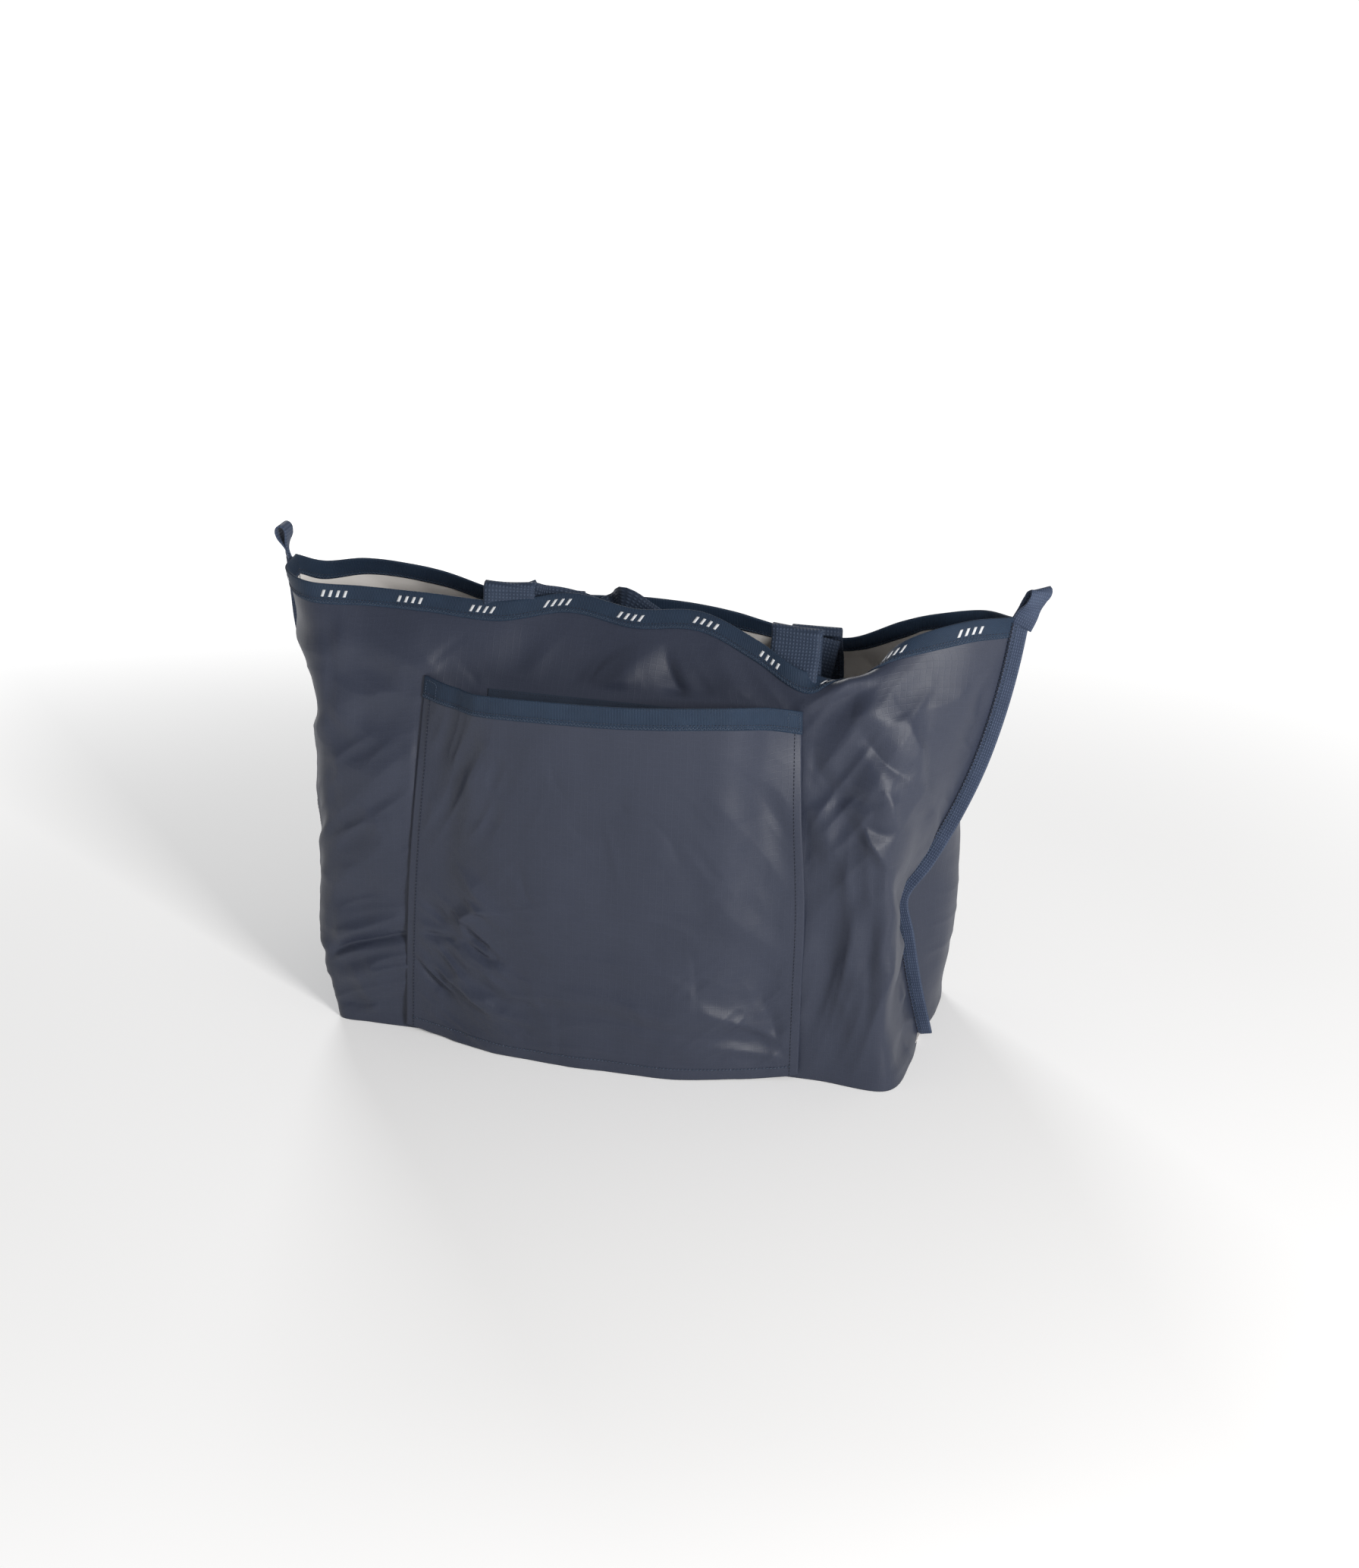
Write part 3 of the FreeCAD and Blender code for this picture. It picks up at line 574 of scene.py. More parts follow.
def stitches(name, lines, material, pitch=2.6, fill=0.74, zigzag=0.0, radius=THREAD):
    """Lines of raised thread as one object."""
    blocks = []
    for points, normals in lines:
        start, end, up = stitch_ends(np.asarray(points, float), np.asarray(normals, float), pitch, fill, zigzag)
        along = end - start
        side = np.cross(along, up)
        side /= np.linalg.norm(side, axis=1, keepdims=True)
        rings = [start[:, None]]
        for share in (0.2, 0.8):
            for k in range(STITCH_SIDES):
                angle = 2 * math.pi * k / STITCH_SIDES
                rim = side * math.cos(angle) * radius + up * (math.sin(angle) * radius + radius * 0.4)
                rings.append((start + along * share + rim)[:, None])
        rings.append(end[:, None])
        blocks.append(np.concatenate(rings, 1))
    n = STITCH_SIDES
    faces = [[0, 1 + (k + 1) % n, 1 + k] for k in range(n)]
    faces += [[1 + k, 1 + (k + 1) % n, 1 + n + (k + 1) % n, 1 + n + k] for k in range(n)]
    faces += [[1 + 2 * n, 1 + n + k, 1 + n + (k + 1) % n] for k in range(n)]
    return block_mesh(name, np.concatenate(blocks), faces, material)


# ---- materials ------------------------------------------------------------------------------------
class Finish:
    """A procedural material in the making."""

    def __init__(self, name, roughness, sheen=0.0, metallic=0.0, specular=0.5):
        self.material = bpy.data.materials.new(name)
        self.material.use_nodes = True
        self.tree = self.material.node_tree
        self.shader = self.tree.nodes["Principled BSDF"]
        self.shader.inputs["Roughness"].default_value = roughness
        self.shader.inputs["Metallic"].default_value = metallic
        self.shader.inputs["Specular IOR Level"].default_value = specular
        self.shader.inputs["Sheen Weight"].default_value = sheen
        self.shader.inputs["Sheen Roughness"].default_value = 0.4
        self.shader.inputs["Sheen Tint"].default_value = (0.75, 0.8, 1.0, 1.0)

    def node(self, kind, **settings):
        made = self.tree.nodes.new(kind)
        for key, value in settings.items():
            setattr(made, key, value)
        return made

    def feed(self, socket, value):
        if isinstance(value, bpy.types.NodeSocket):
            self.tree.links.new(value, socket)
        else:
            socket.default_value = value

    def math(self, operation, *values):
        made = self.node("ShaderNodeMath", operation=operation)
        for socket, value in zip(made.inputs, values):
            self.feed(socket, value)
        return made.outputs[0]

    def cloth_place(self):
        """Distances over the cloth in metres: along a row, and up it."""
        place = self.node("ShaderNodeUVMap", uv_map="weave")
        split = self.node("ShaderNodeSeparateXYZ")
        self.feed(split.inputs[0], place.outputs[0])
        return split.outputs[0], split.outputs[1]

    def object_place(self):
        return self.node("ShaderNodeTexCoord").outputs["Object"]

    def wave(self, place, pitch):
        """0 to 1 and back, once in each pitch."""
        turns = self.math("MULTIPLY", place, 2 * math.pi / pitch)
        return self.math("MULTIPLY_ADD", self.math("SINE", turns), 0.5, 0.5)

    def noise(self, scale, detail=2.0, place=None):
        made = self.node("ShaderNodeTexNoise")
        self.feed(made.inputs["Vector"], place or self.object_place())
        made.inputs["Scale"].default_value = scale
        made.inputs["Detail"].default_value = detail
        return made.outputs[0]

    def tint(self, factor, dark, light):
        """A colour between two, which becomes the base colour."""
        blend = self.node("ShaderNodeMix", data_type="RGBA")
        self.feed(blend.inputs["Factor"], factor)
        blend.inputs["A"].default_value = (*dark, 1.0)
        blend.inputs["B"].default_value = (*light, 1.0)
        colour = next(out for out in blend.outputs if out.type == "RGBA")
        self.feed(self.shader.inputs["Base Color"], colour)

    def bump(self, height, distance, strength=1.0):
        made = self.node("ShaderNodeBump")
        made.inputs["Strength"].default_value = strength
        made.inputs["Distance"].default_value = distance
        self.feed(made.inputs["Height"], height)
        self.feed(self.shader.inputs["Normal"], made.outputs[0])

    def rough(self, factor, low, high):
        self.feed(self.shader.inputs["Roughness"], self.math("MULTIPLY_ADD", factor, high - low, low))


def blended(dark, light, share):
    return tuple(d + (l - d) * share for d, l in zip(dark, light))


def ripstop(name, colour):
    """Fine plain weave with a faint square of thicker yarns, and a satin coating."""
    finish = Finish(name, 0.46, sheen=0.02, specular=0.36)
    u, v = finish.cloth_place()
    weave = finish.math("MULTIPLY", finish.wave(u, 0.00062), finish.wave(v, 0.00062))
    yarns = [finish.math("POWER", finish.wave(place, 0.0048), 26.0) for place in (u, v)]
    squares = finish.math("MAXIMUM", *yarns)
    cloudy = finish.noise(13.0, 4.0)
    speckle = finish.noise(1500.0, 1.0)
    shade = finish.math("MULTIPLY_ADD", cloudy, 0.46, finish.math("MULTIPLY", speckle, 0.3))
    shade = finish.math("ADD", shade, finish.math("MULTIPLY", squares, 0.07))
    finish.tint(shade, blended(colour, (0, 0, 0), 0.35), blended(colour, (0.12, 0.13, 0.18), 0.14))
    finish.rough(finish.noise(34.0, 3.0), 0.4, 0.52)
    height = finish.math("MULTIPLY_ADD", weave, 0.5, finish.math("MULTIPLY", squares, 0.6))
    finish.bump(height, 0.00012, 0.5)
    return finish.material


def grosgrain(name, dark, light, pitch=0.0011):
    """Ribs across the tape. Their colour is darker in the grooves between them and lighter on their tops, a
    painted shade, with random tone added.
    """
    finish = Finish(name, 0.62, sheen=0.05, specular=0.32)
    u, v = finish.cloth_place()
    ribs = finish.wave(u, pitch)
    threads = finish.wave(v, 0.0005)
    # Painted shade: the colour follows the ribs, dark in the grooves and light on the rib tops; the noise adds
    # random tone.
    shade = finish.math("MULTIPLY_ADD", ribs, 0.55, finish.math("MULTIPLY", finish.noise(60.0, 3.0), 0.5))
    finish.tint(shade, dark, light)
    finish.rough(finish.noise(90.0), 0.55, 0.72)
    finish.bump(finish.math("MULTIPLY_ADD", threads, 0.25, ribs), 0.00022, 0.8)
    return finish.material


def webbing(name, dark, light, across, along, depth=0.00035):
    """A waffle of small cells, with the colour darker in the hollows between them and lighter on their tops, a
    painted shade.
    """
    finish = Finish(name, 0.66, sheen=0.08, specular=0.3)
    u, v = finish.cloth_place()
    cells = finish.math("MULTIPLY", finish.wave(u, across), finish.wave(v, along))
    # Painted shade: the colour follows the cells, dark in the hollows and light on the cell tops; the noise adds
    # random tone.
    shade = finish.math("MULTIPLY_ADD", cells, 0.65, finish.math("MULTIPLY", finish.noise(55.0, 3.0), 0.5))
    finish.tint(shade, dark, light)
    finish.rough(finish.noise(120.0), 0.58, 0.76)
    finish.bump(cells, depth, 0.9)
    return finish.material


def silver_coating():
    """The pale metallic back of the cloth."""
    finish = Finish("silver_coating", 0.42, metallic=0.15, specular=0.5)
    u, v = finish.cloth_place()
    weave = finish.math("MULTIPLY", finish.wave(u, 0.0007), finish.wave(v, 0.0007))
    finish.tint(finish.noise(22.0, 4.0), (0.8, 0.765, 0.73), (0.95, 0.925, 0.9))
    finish.rough(finish.noise(40.0, 3.0), 0.34, 0.5)
    finish.bump(weave, 0.00012, 0.4)
    return finish.material


def brass():
    finish = Finish("zip_brass_metal", 0.3, metallic=1.0)
    finish.tint(finish.noise(240.0, 3.0), (0.42, 0.29, 0.11), (0.78, 0.58, 0.27))
    finish.rough(finish.noise(400.0), 0.24, 0.42)
    finish.bump(finish.noise(900.0), 0.00008, 0.4)
    return finish.material


def thread(name, dark, light):
    finish = Finish(name, 0.6, sheen=0.3, specular=0.35)
    finish.tint(finish.noise(700.0), dark, light)
    finish.rough(finish.noise(500.0), 0.5, 0.7)
    finish.bump(finish.noise(3000.0), 0.00008, 0.6)
    return finish.material


def zip_tape_cloth():
    """A woven zip tape, whose place is taken from the object, as on every carried-over part. Its colour is darker
    in the grooves of the twill ribs, a painted shade.
    """
    finish = Finish("zip_tape_cloth", 0.7, sheen=0.2, specular=0.3)
    split = finish.node("ShaderNodeSeparateXYZ")
    finish.feed(split.inputs[0], finish.object_place())
    twill = finish.math("ADD", split.outputs[0], split.outputs[2])
    ribs = finish.wave(twill, 0.0009)
    # Painted shade: the colour is dark in the grooves of the ribs and light on their tops; the noise adds random
    # tone.
    finish.tint(finish.math("MULTIPLY_ADD", ribs, 0.6, finish.math("MULTIPLY", finish.noise(80.0), 0.4)),
                (0.008, 0.014, 0.028), (0.03, 0.045, 0.075))
    finish.bump(ribs, 0.0002, 0.7)
    return finish.material


NAVY = (0.032, 0.04, 0.068)
SHELL = ripstop("ripstop_shell", NAVY)
SILVER = silver_coating()
# In the tape and webbing colour pairs below, the darker end is reached partly in the grooves of the weave, a
# painted shade, and partly by random tone.
GROSGRAIN = grosgrain("rim_grosgrain_tape", (0.006, 0.014, 0.031), (0.018, 0.04, 0.078))
SEAM_WEB = webbing("seam_webbing_weave", (0.022, 0.034, 0.066), (0.078, 0.105, 0.172), 0.0016, 0.0024)
STRAP_WEB = webbing("handle_webbing_weave", (0.012, 0.021, 0.042), (0.05, 0.072, 0.118), 0.0026, 0.0026, 0.0005)
POUCH = ripstop("pocket_cloth_weave", (0.03, 0.037, 0.062))
DARK_THREAD = thread("dark_thread", (0.004, 0.006, 0.014), (0.014, 0.02, 0.038))
TAPE_THREAD = thread("tape_thread", (0.012, 0.024, 0.046), (0.05, 0.078, 0.125))
PALE_THREAD = thread("pale_thread", (0.5, 0.51, 0.53), (0.74, 0.75, 0.77))
BRASS = brass()
ZIP_CLOTH = zip_tape_cloth()


# ---- panels ---------------------------------------------------------------------------------------
def settle(piece, slot, *nodes, body="bag"):
    """A piece that moves with a body and stands for CAD nodes."""
    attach(piece, body)
    if nodes:
        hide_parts(*nodes)
    return piece


REAR = rear_grid()
FRONT = front_grid()
SLEEVE = sleeve_grid()


def add_panels():
    rear = cloth_piece("rear_panel_cloth", REAR, False, CLOTH, (SHELL, SILVER))
    front = cloth_piece("front_panel_cloth", FRONT, True, CLOTH, (SHELL, SILVER))
    settle(rear, "ripstop_nylon", "rear_panel")
    settle(front, "ripstop_nylon", "front_panel")
    sleeve = cloth_piece("trolley_sleeve_cloth", SLEEVE, False, CLOTH, (SHELL, SHELL))
    settle(sleeve, "ripstop_nylon", "trolley_sleeve")


BASE_ROWS = 80
BASE_LIFT = 0.2
BASE_SLACK = 1.2


BASE_SHARE = 0.988      # keeps the base's pale edge inside the panels


def add_base():
    """The base, from one panel's foot to the other's."""
    near, far = REAR[0], FRONT[0]
    columns = 200
    edges = [hermite(line, chord(line), np.linspace(0, 1, columns)) for line in (near, far)]
    share = np.linspace(0, 1, BASE_ROWS)[:, None, None]
    grid = edges[0] * (1 - share) + edges[1] * share
    held = smooth_step(np.minimum(share, 1 - share) * 8)[..., 0]
    rise = np.clip(undulation(grid, 60, 2 * BASE_SLACK, 12.4) + BASE_SLACK, 0, None)
    grid[..., 2] = BASE_LIFT + rise * held
    grid[..., :2] *= BASE_SHARE
    base = cloth_piece("base_panel_cloth", grid, True, CLOTH, (SHELL, SILVER))
    settle(base, "ripstop_nylon", "base_panel")


def patch(grid, x_range, z_range, rows, columns):
    """Part of a panel between two heights and two places along it."""
    heights = np.linspace(*z_range, rows)
    made = np.empty((rows, grid.shape[1], 3))
    for j in range(grid.shape[1]):
        column = grid[:, j]
        for k in range(3):
            made[:, j, k] = np.interp(heights, column[:, 2], column[:, k])
    wide = np.linspace(*x_range, columns)
    return np.stack([np.stack([np.interp(wide, row[:, 0], row[:, k]) for k in range(3)], -1) for row in made])


POUCH_X = (-105, 105)
POUCH_Z = (135, 271)
POUCH_GAPS = (1.0, 3.6)


def add_pouch():
    """The pocket's bag, hanging inside the rear panel: two layers joined round their edges."""
    near = patch(REAR, POUCH_X, POUCH_Z, 60, 90)
    normals = grid_normals(near)
    rows, columns = near.shape[:2]
    across = np.linspace(0, 1, columns)
    up = np.linspace(0, 1, rows)
    sewn = smooth_step(np.minimum(across, 1 - across) * 9)[None] * smooth_step(up * 9)[:, None]
    slack = POUCH_GAPS[1] + undulation(near, 40, 2.6, 21.0)
    layer = near - normals * (POUCH_GAPS[0] + (slack - POUCH_GAPS[0]) * sewn)[..., None]
    pouch = cloth_piece("pocket_pouch_cloth", layer, False, CLOTH, (POUCH, POUCH))
    settle(pouch, "pocket_cloth", "pocket_pouch")


# ---- bound edges ----------------------------------------------------------------------------------
def below_edge(grid, distances):
    """Points of a panel at set distances below its top edge: distances by columns by xyz."""
    made = np.empty((len(distances), grid.shape[1], 3))
    for j in range(grid.shape[1]):
        column = grid[::-1, j]
        run = np.concatenate([[0], np.cumsum(np.linalg.norm(np.diff(column, axis=0), axis=1))])
        for k in range(3):
            made[:, j, k] = np.interp(distances, run, column[:, k])
    return made


FOLD_STEPS = 5


class BoundEdge:
    """A tape folded over a top edge, and the lines and marks sewn on it."""

    def __init__(self, grid, outward, width, cloth):
        self.down = np.linspace(0, width, 9)
        self.cloth = cloth
        wide = np.concatenate([self.down, [width + 3]])
        points = below_edge(grid, wide)
        self.normals = grid_normals(points[::-1], outward)[::-1][:-1]
        self.points = points[:-1]

    def layer(self, distance):
        return self.points + self.normals * distance

    def tape_grid(self):
        outer = self.layer(TAPE * 0.6)[::-1]
        inner = self.layer(-self.cloth - TAPE * 0.6)
        up = self.points[0] - self.points[1]
        up /= np.linalg.norm(up, axis=1, keepdims=True)
        middle, reach = (outer[-1] + inner[0]) / 2, (outer[-1] - inner[0]) / 2
        fold = []
        for k in range(1, FOLD_STEPS):
            angle = math.pi * k / FOLD_STEPS
            fold.append(middle + reach * math.cos(angle) + up * (math.sin(angle) * self.cloth))
        return np.concatenate([outer, np.array(fold), inner])

    def line(self, down, lift, inside=False):
        """A line along the tape at a distance below the edge: points and normals."""
        row = np.interp(down, self.down, np.arange(len(self.down)))
        low, share = int(row), row - int(row)
        high = min(low + 1, len(self.down) - 1)
        points = self.points[low] * (1 - share) + self.points[high] * share
        normals = self.normals[low]
        if inside:
            return points - normals * (self.cloth + TAPE + lift), -normals
        return points + normals * (TAPE + lift), normals


MARK_PITCH = 57.0
MARK_DASHES = 4
DASH_STEP = 5.4
DASH_WIDTH = 2.1
DASH_SLANT = 2.6
DASH_TOP, DASH_FOOT = 4.2, 9.4
DASH_LIFT = 0.16
DASH_ROWS, DASH_COLUMNS = 5, 3


def add_marks(name, edge, first):
    """Groups of short slanted dashes woven along a tape."""
    top_line = edge.line(0.0, 0.0)[0]
    run = np.concatenate([[0], np.cumsum(np.linalg.norm(np.diff(top_line, axis=0), axis=1))])
    blocks = []
    for group in np.arange(first, run[-1] - 30, MARK_PITCH):
        for dash in range(MARK_DASHES):
            rows = []
            for r in range(DASH_ROWS):
                share = r / (DASH_ROWS - 1)
                points, normals = edge.line(DASH_TOP + (DASH_FOOT - DASH_TOP) * share, DASH_LIFT)
                left = group + dash * DASH_STEP + DASH_SLANT * (1 - share)
                where = left + np.linspace(0, DASH_WIDTH, DASH_COLUMNS)
                rows.append(np.stack([np.interp(where, run, points[:, k]) for k in range(3)], -1))
            blocks.append(np.array(rows).reshape(-1, 3))
    marks = block_mesh(name, blocks, quads(DASH_ROWS, DASH_COLUMNS), PALE_THREAD)
    shell = marks.modifiers.new("thread", "SOLIDIFY")
    shell.thickness = 0.25 * MM
    shell.offset = 0
    settle(marks, "rim_grosgrain")


def add_bound_edge(name, grid, outward, width, node, mark_start=None):
    edge = BoundEdge(grid, outward, width, CLOTH)
    tape = cloth_piece(f"{name}_tape_cloth", edge.tape_grid(), outward < 0, TAPE, (GROSGRAIN,), offset=0.0)
    settle(tape, "rim_grosgrain", node)
    sewn = width - 1.7
    lines = [edge.line(sewn, 0.1), edge.line(sewn, 0.1, inside=True)]
    zigzag = stitches(f"{name}_zigzag", lines, TAPE_THREAD, pitch=1.35, fill=0.95, zigzag=0.9, radius=0.28)
    settle(zigzag, "rim_grosgrain")
    straight = [edge.line(sewn - 2.2, 0.05), edge.line(sewn - 2.2, 0.05, inside=True)]
    settle(stitches(f"{name}_topstitch", straight, DARK_THREAD, pitch=2.6), "rim_grosgrain")
    if mark_start is not None:
        add_marks(f"{name}_woven_marks", edge, mark_start)
    return edge


# ---- side bindings and pull loops -------------------------------------------------------------------
def seam_path(index):
    """The side seam, from a little above the base to the rim."""
    line = REAR[:, index]
    return line[line[:, 2] > 2.0][::3]


def add_binding(side):
    name = "left" if side < 0 else "right"
    seam = seam_path(0 if side < 0 else -1)
    share = np.linspace(0, 1, len(seam))[:, None]
    if side > 0:
        turn = np.array([[1.0, -0.12, 0.0]]) + share * [[0, 0.1, 0]]
    else:
        turn = np.array([[-1.0, 0.36, 0.0]]) + np.sin(share * 15.0 - 1.0) * [[0.0, 0.2, 0]]
    turn /= np.linalg.norm(turn, axis=1, keepdims=True)
    centre = seam + turn * (BINDING_WIDTH / 2 - 0.8)
    band = strap_piece(f"{name}_side_binding_web", centre, turn, BINDING_WIDTH, BINDING_THICK, SEAM_WEB)
    settle(band, "seam_webbing", f"{name}_side_binding")
    facing = np.cross(np.gradient(centre, axis=0), turn) * side
    facing /= np.linalg.norm(facing, axis=1, keepdims=True)
    facing = np.where(facing[:, 1:2] > 0, -facing, facing) if side > 0 else facing
    lines = []
    for way in (-1, 1):
        lift = facing * way * (BINDING_THICK / 2 + 0.1)
        lines.append((seam + turn * 0.4 + lift, facing * way))
    edge = stitches(f"{name}_binding_overcast", lines, DARK_THREAD, pitch=1.5, fill=0.96, zigzag=1.1, radius=0.42)
    settle(edge, "seam_webbing")
    lines = [(points + turn * 3.0, normals) for points, normals in lines]
    settle(stitches(f"{name}_binding_topstitch", lines, TAPE_THREAD, pitch=2.8), "seam_webbing")


LOOP_SIDE = [(0.0, 0.9), (0.4, 1.1), (0.7, 3.5), (0.88, 3.6), (0.97, 2.1)]  # share of rise, half gap
LOOP_ROOT = {-1: 4.5, 1: 8.0}    # of each side's loop, let into the end of its binding


def add_loop(side):
    """A pull loop: webbing folded over on itself above the corner."""
    name = "left" if side < 0 else "right"
    low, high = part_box(f"{name}_pull_loop")
    foot = np.array([side * 279.5, 0.0, low[2] / MM - LOOP_ROOT[side]])
    rise = (high[2] - low[2]) / MM - 0.8 + LOOP_ROOT[side]
    if side < 0:
        lean, gap, across = (-0.17, 0.0, 1.0), np.array([1.0, 0.0, 0.2]), np.array([0.0, 1.0, 0.0])
    else:
        lean, gap, across = (0.42, 0.0, 1.0), np.array([-0.42, 0.85, 0.05]), np.array([0.82, 0.5, 0.16])
    knots = [foot + np.array(lean) * rise * s + gap * g for s, g in LOOP_SIDE]
    knots.append(foot + np.array(lean) * rise)
    knots += [foot + np.array(lean) * rise * s - gap * g for s, g in reversed(LOOP_SIDE)]
    knots = np.array(knots)
    path = hermite(knots, chord(knots), np.linspace(0, 1, 60))
    height = smooth_step((path[:, 2:] - path[0, 2]) / rise * 1.4)
    rooted = np.array([1.0, -0.1, 0.0]) if side > 0 else np.array([-0.5, 0.87, 0.0])
    turn = rooted * (1 - height) + across * height
    loop = strap_piece(f"{name}_pull_loop_web", path, turn, LOOP_WIDTH, 1.4, SEAM_WEB)
    settle(loop, "seam_webbing", f"{name}_pull_loop", body=f"{name}_loop")


# ---- handles ----------------------------------------------------------------------------------------
# A leg and grip is a list of (x, y, z, turn): a point of the strap's middle, and how far its width
# has turned in its own plane, in degrees from +X.
REAR_STRAP = [(-95, -25, 345, 0), (-91, -23, 336, 14), (-78, -20, 330, 60), (-58, -18, 328, 86),
              (-36, -16, 322, 78), (-14, -15, 304, 56), (2, -14, 270, 22), (6, -14, 225, 4),
              (4, -13, 185, 6), (10, -12, 152, 38), (32, -11, 131, 78), (64, -11, 129, 100),
              (96, -13, 156, 142), (113, -16, 205, 172), (120, -22, 275, 180), (122, -31, 334, 180)]
FRONT_STRAP = [(-72, 26, 323, 0), (-68, 27, 312, 14), (-56, 30, 302, 52), (-40, 32, 302, 84),
               (-29, 29, 311, 84), (-23, 24, 318, 74), (-6, 20, 311, 60), (12, 18, 300, 58),
               (28, 15, 278, 40), (36, 13, 240, 12), (33, 12, 200, 0), (26, 11, 150, 14),
               (32, 11, 117, 60), (54, 11, 103, 90), (80, 12, 112, 116), (96, 13, 150, 158),
               (104, 16, 205, 174), (112, 19, 250, 176), (122, 23, 285, 178), (127, 27, 313, 180)]
SEWN_DEPTH = 42.0


def nearest_on_rim(grid, x):
    return grid[-1][np.abs(grid[-1][:, 0] - x).argmin()]


def panel_y(grid, x, z):
    """Where a panel is at one x and z, on its upright face."""
    face = grid[:, np.abs(grid[-1][:, 0] - x).argmin()]
    return np.interp(z, face[:, 2], face[:, 1])


def panel_slant(grid, x):
    """The angle of a panel's rim across the width of a strap, seen from above."""
    left, right = (nearest_on_rim(grid, x + side * WEBBING_WIDTH / 2) for side in (-1, 1))
    return math.atan2(right[1] - left[1], right[0] - left[0])


def add_handle(which, strap, grid, toward):
    knots = np.array([k[:3] for k in strap], float)
    turns = np.radians([k[3] for k in strap])
    share = chord(knots)
    fine = np.linspace(0, 1, 220)
    path = hermite(knots, share, fine)
    angle = hermite(turns, share, fine)
    slant = np.interp(fine, (0, 1), [panel_slant(grid, knots[end][0]) for end in (0, -1)])
    across = np.stack([np.cos(angle) * np.cos(slant), np.cos(angle) * np.sin(slant), np.sin(angle)], -1)
    loop = strap_piece(f"{which}_handle_strap", path, across, WEBBING_WIDTH, WEBBING_THICK, STRAP_WEB)
    nodes = [f"{which}_handle_{part}" for part in ("left_leg", "right_leg", "grip")]
    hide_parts(*nodes)
    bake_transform(loop)
    for side, joint in (("left", knots[0]), ("right", knots[-1])):
        add_handle_end(which, side, joint, grid, toward)


FOLD_TURN = 4.2
BOX_HEIGHT = 30.0


def add_handle_end(which, side, joint, grid, toward):
    """The sewn end of a strap, up to its turn over the rim."""
    x, join_y, join_z = joint
    rim = nearest_on_rim(grid, x)
    gap = CLOTH + TAPE + WEBBING_THICK / 2 + 1.4
    points = []
    for drop in (SEWN_DEPTH, 30.0, 18.0, 6.0):
        z = rim[2] - drop
        points.append((x, panel_y(grid, x, z) + toward * gap, z))
    points.append((x, join_y - toward * 2 * FOLD_TURN, join_z - 3.0))
    for k in range(1, 6):
        turn = math.pi * k / 6
        points.append((x, join_y - toward * FOLD_TURN * (1 + math.cos(turn)), join_z + FOLD_TURN * math.sin(turn) * 1.2))
    points.append((x, join_y, join_z))
    points = np.array(points)
    path = hermite(points, chord(points), np.linspace(0, 1, 60))
    slant = panel_slant(grid, x)
    across = np.repeat([[math.cos(slant), math.sin(slant), 0.0]], len(path), 0)
    end = strap_piece(f"{which}_handle_{side}_end_web", path, across, WEBBING_WIDTH, WEBBING_THICK, STRAP_WEB)
    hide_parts(f"{which}_handle_{side}_end")
    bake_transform(end)
    add_box_stitch(f"{which}_handle_{side}_box_stitch", path, x, toward, slant)


def add_box_stitch(name, path, x, toward, slant):
    """A sewn box with a cross in it, on the inner face of a strap's end."""
    low, high = path[0, 2] + 3, path[0, 2] + BOX_HEIGHT
    half = WEBBING_WIDTH / 2 - 3.5
    corners = [(-half, low), (half, low), (half, high), (-half, high), (-half, low), (half, high)]
    second = [(-half, high), (half, low)]
    lines = []
    for chain in (corners, second):
        chain = np.array(chain)
        fine = np.concatenate([np.linspace(a, b, 20) for a, b in zip(chain[:-1], chain[1:])])
        y = np.interp(fine[:, 1], path[:30, 2], path[:30, 1]) + toward * (WEBBING_THICK / 2 + 0.1)
        y = y + fine[:, 0] * math.sin(slant)
        points = np.stack([x + fine[:, 0] * math.cos(slant), y, fine[:, 1]], -1)
        lines.append((points, np.repeat([[0.0, toward, 0.0]], len(points), 0)))
    settle(stitches(name, lines, DARK_THREAD, pitch=2.4), "handle_webbing")


# ---- sleeve stitching ---------------------------------------------------------------------------------
def add_sleeve_stitching():
    normals = grid_normals(SLEEVE)
    lift = 0.25
    lines = []
    for inset in (5, -6):
        lines.append((SLEEVE[:, inset] + normals[:, inset] * lift, normals[:, inset]))
    settle(stitches("sleeve_side_topstitch", lines, DARK_THREAD, pitch=2.8), "ripstop_nylon")
    hem = int(9.0 / 286 * len(SLEEVE))
    lines = [(SLEEVE[hem, 4:-4] + normals[hem, 4:-4] * lift, normals[hem, 4:-4])]
    settle(stitches("sleeve_hem_stitch", lines, TAPE_THREAD, pitch=2.8, radius=0.34), "ripstop_nylon")


def add_sleeve_corners(edge):
    """A sewn box at each end of the sleeve's top tape."""
    lines = []
    for start, stop in ((2, 10), (-11, -3)):
        box = [(2.0, start), (2.0, stop), (14.0, stop), (14.0, start), (2.0, start)]
        points, normals = [], []
        for (d0, c0), (d1, c1) in zip(box[:-1], box[1:]):
            for t in np.linspace(0, 1, 12, endpoint=False):
                line, up = edge.line(d0 + (d1 - d0) * t, 0.12)
                column = int(round(c0 + (c1 - c0) * t))
                points.append(line[column])
                normals.append(up[column])
        lines.append((np.array(points), np.array(normals)))
    settle(stitches("sleeve_corner_boxes", lines, TAPE_THREAD, pitch=2.2, radius=0.34), "rim_grosgrain")


# ---- zip ------------------------------------------------------------------------------------------------
TOOTH_PITCH = 2.0
TOOTH = (1.15, 3.0, 1.5)    # along, across and out of the tape


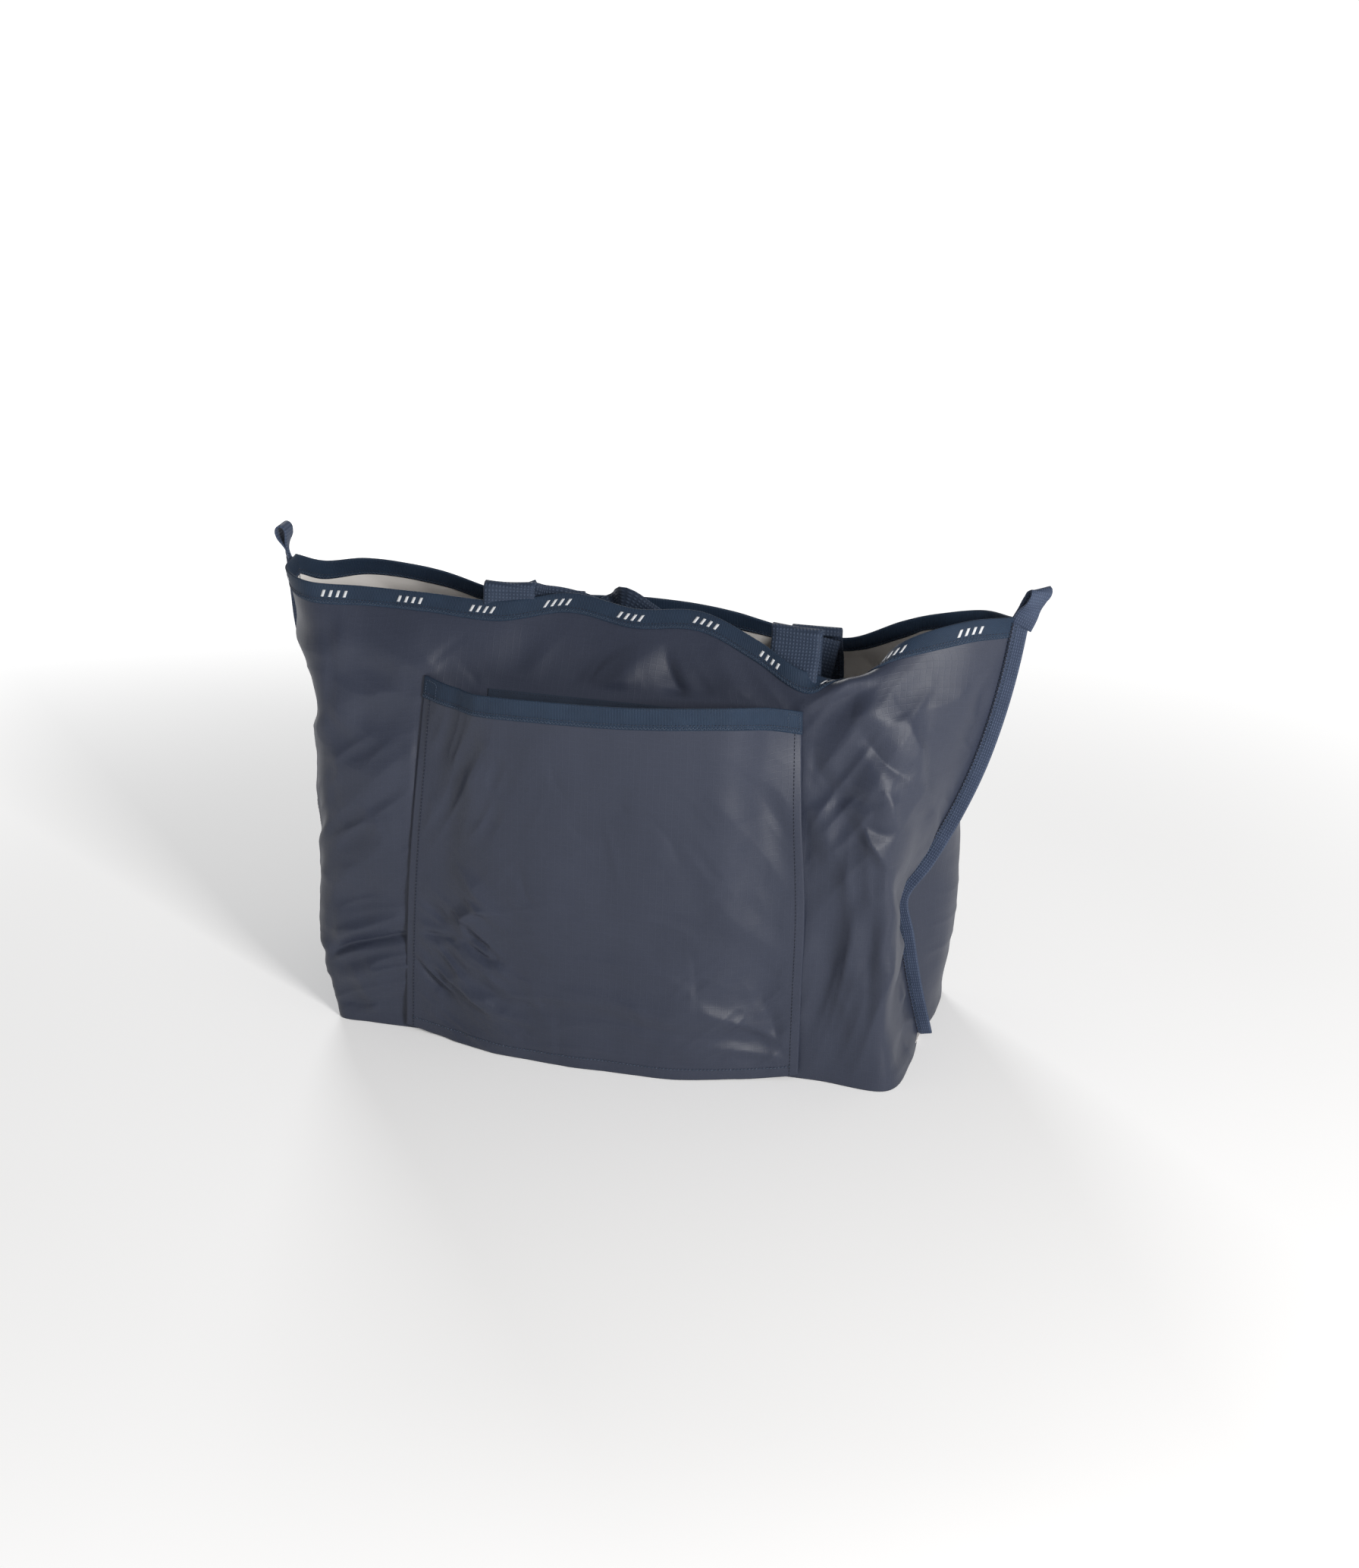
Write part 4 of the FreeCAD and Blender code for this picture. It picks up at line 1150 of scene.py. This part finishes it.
def add_zip():
    low, high = (np.array(corner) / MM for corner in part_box("zip_chain"))
    tape_low, tape_high = (np.array(corner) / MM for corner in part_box("zip_upper_tape"))
    rise = (tape_high - tape_low)[1:]
    up = np.array([0.0, rise[0], rise[1]])
    up /= np.linalg.norm(up)
    out = np.cross([1.0, 0.0, 0.0], up)
    middle = (low + high) / 2
    blocks = []
    count = int((high[0] - low[0]) / TOOTH_PITCH * 2)
    for k in range(count):
        centre = middle + [low[0] - middle[0] + (k + 0.5) * TOOTH_PITCH / 2, 0, 0]
        centre = centre + up * (0.7 if k % 2 else -0.7)
        corners = []
        for height, waist in ((-0.5, 1.0), (0.2, 1.0), (0.5, 0.72)):
            for a, b in ((-1, -1), (1, -1), (1, 1), (-1, 1)):
                corners.append(centre + np.array([a * TOOTH[0] / 2 * waist, 0, 0])
                               + up * (b * TOOTH[1] / 2 * waist) + out * (height * TOOTH[2]))
        blocks.append(corners)
    faces = [[3, 2, 1, 0], [8, 9, 10, 11]]
    faces += [[r + k, r + (k + 1) % 4, r + 4 + (k + 1) % 4, r + 4 + k] for r in (0, 4) for k in range(4)]
    teeth = block_mesh("zip_teeth", blocks, faces, BRASS)
    teeth.data.polygons.foreach_set("use_smooth", [False] * len(teeth.data.polygons))
    settle(teeth, "zip_brass", "zip_chain")
    lines = []
    for way in (-1, 1):
        reach = np.linspace(low[0] - 4, high[0] + 4, 80)
        points = np.array([middle + [x - middle[0], 0, 0] + up * (way * 9.2) + out * 0.5 for x in reach])
        lines.append((points, np.repeat(out[None], len(points), 0)))
    settle(stitches("zip_tape_stitch", lines, DARK_THREAD, pitch=2.4), "zip_tape")


def finish_carried_nodes():
    """Materials and softened edges for the CAD parts that show."""
    dressed = {"zip_lower_tape": ZIP_CLOTH, "zip_upper_tape": ZIP_CLOTH, "zip_stops": BRASS,
               "zip_slider": BRASS, "zip_pull": BRASS}
    for name, material in dressed.items():
        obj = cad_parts[name]
        obj.data.materials.clear()
        obj.data.materials.append(material)
        if material is BRASS:
            bevel = obj.modifiers.new("softened", "BEVEL")
            bevel.width = 0.25 * MM
            bevel.segments = 2
            bevel.limit_method = "ANGLE"


# ---- stage ------------------------------------------------------------------------------------------------
CAMERA_PLACE = (0.3531, -1.6058, 0.8846)
CAMERA_ELEVATION, CAMERA_AZIMUTH, CAMERA_ROLL = 22.94, 11.33, 1.78
CAMERA_LENS = 53.115


def add_camera():
    e, a, r = (math.radians(v) for v in (CAMERA_ELEVATION, CAMERA_AZIMUTH, CAMERA_ROLL))
    back = Vector((math.sin(a) * math.cos(e), -math.cos(a) * math.cos(e), math.sin(e)))
    level = Vector((math.cos(a), math.sin(a), 0))
    up = back.cross(level)
    right = math.cos(r) * level + math.sin(r) * up
    up = -math.sin(r) * level + math.cos(r) * up
    turn = Matrix((right, up, back)).transposed().to_4x4()
    data = bpy.data.cameras.new("view")
    data.lens = CAMERA_LENS
    camera = bpy.data.objects.new("view", data)
    camera.matrix_world = Matrix.Translation(CAMERA_PLACE) @ turn
    bpy.context.scene.collection.objects.link(camera)
    bpy.context.scene.camera = camera


def add_light(name, place, target, size, energy, colour=(1.0, 1.0, 1.0)):
    data = bpy.data.lights.new(name, "AREA")
    data.shape = "SQUARE"
    data.size = size
    data.energy = energy
    data.color = colour
    light = bpy.data.objects.new(name, data)
    light.location = place
    light.rotation_euler = (Vector(target) - Vector(place)).to_track_quat("-Z", "Y").to_euler()
    bpy.context.scene.collection.objects.link(light)


def pale_floor():
    """A white floor that gives off its own light well away from the bag."""
    finish = Finish("pale_floor", 0.8, specular=0.2)
    finish.tint(finish.noise(1.5), (0.84, 0.84, 0.84), (0.88, 0.88, 0.88))
    away = finish.node("ShaderNodeVectorMath", operation="LENGTH")
    finish.feed(away.inputs[0], finish.object_place())
    glow = finish.node("ShaderNodeMapRange", interpolation_type="SMOOTHSTEP")
    finish.feed(glow.inputs["Value"], away.outputs["Value"])
    glow.inputs["From Min"].default_value = 0.5
    glow.inputs["From Max"].default_value = 1.8
    glow.inputs["To Min"].default_value = 0.24
    glow.inputs["To Max"].default_value = 0.85
    finish.shader.inputs["Emission Color"].default_value = (1.0, 1.0, 1.0, 1.0)
    finish.feed(finish.shader.inputs["Emission Strength"], glow.outputs["Result"])
    return finish.material


def add_stage():
    floor = new_object("floor", [(-40000, -40000, 0), (40000, -40000, 0), (40000, 40000, 0), (-40000, 40000, 0)],
                       [[0, 1, 2, 3]])
    floor.location.z = -0.0005
    floor.data.materials.append(pale_floor())
    world = bpy.data.worlds.new("studio")
    world.use_nodes = True
    world.node_tree.nodes["Background"].inputs["Color"].default_value = (1.0, 1.0, 1.0, 1.0)
    world.node_tree.nodes["Background"].inputs["Strength"].default_value = 0.26
    bpy.context.scene.world = world
    bpy.context.scene.view_settings.view_transform = "Standard"
    centre = (0.0, 0.0, 0.2)
    add_light("key", (1.75, -1.75, 1.1), centre, 0.6, 56.0, (1.0, 0.985, 0.97))
    add_light("back", (-1.3, 2.3, 1.5), centre, 1.0, 34.0)


add_camera()
add_stage()
add_panels()
add_base()
add_pouch()
add_bound_edge("rear_rim", REAR, 1, RIM_TAPE_WIDTH, "rear_rim_tape", 18.0)
add_bound_edge("front_rim", FRONT, -1, RIM_TAPE_WIDTH, "front_rim_tape", 26.0)
sleeve_edge = add_bound_edge("sleeve_top", SLEEVE, 1, SLEEVE_TAPE_WIDTH, "sleeve_top_binding")
add_sleeve_stitching()
add_sleeve_corners(sleeve_edge)
for end_side in (-1, 1):
    add_binding(end_side)
    add_loop(end_side)
add_handle("rear", REAR_STRAP, REAR, 1)
add_handle("front", FRONT_STRAP, FRONT, -1)
add_zip()
finish_carried_nodes()
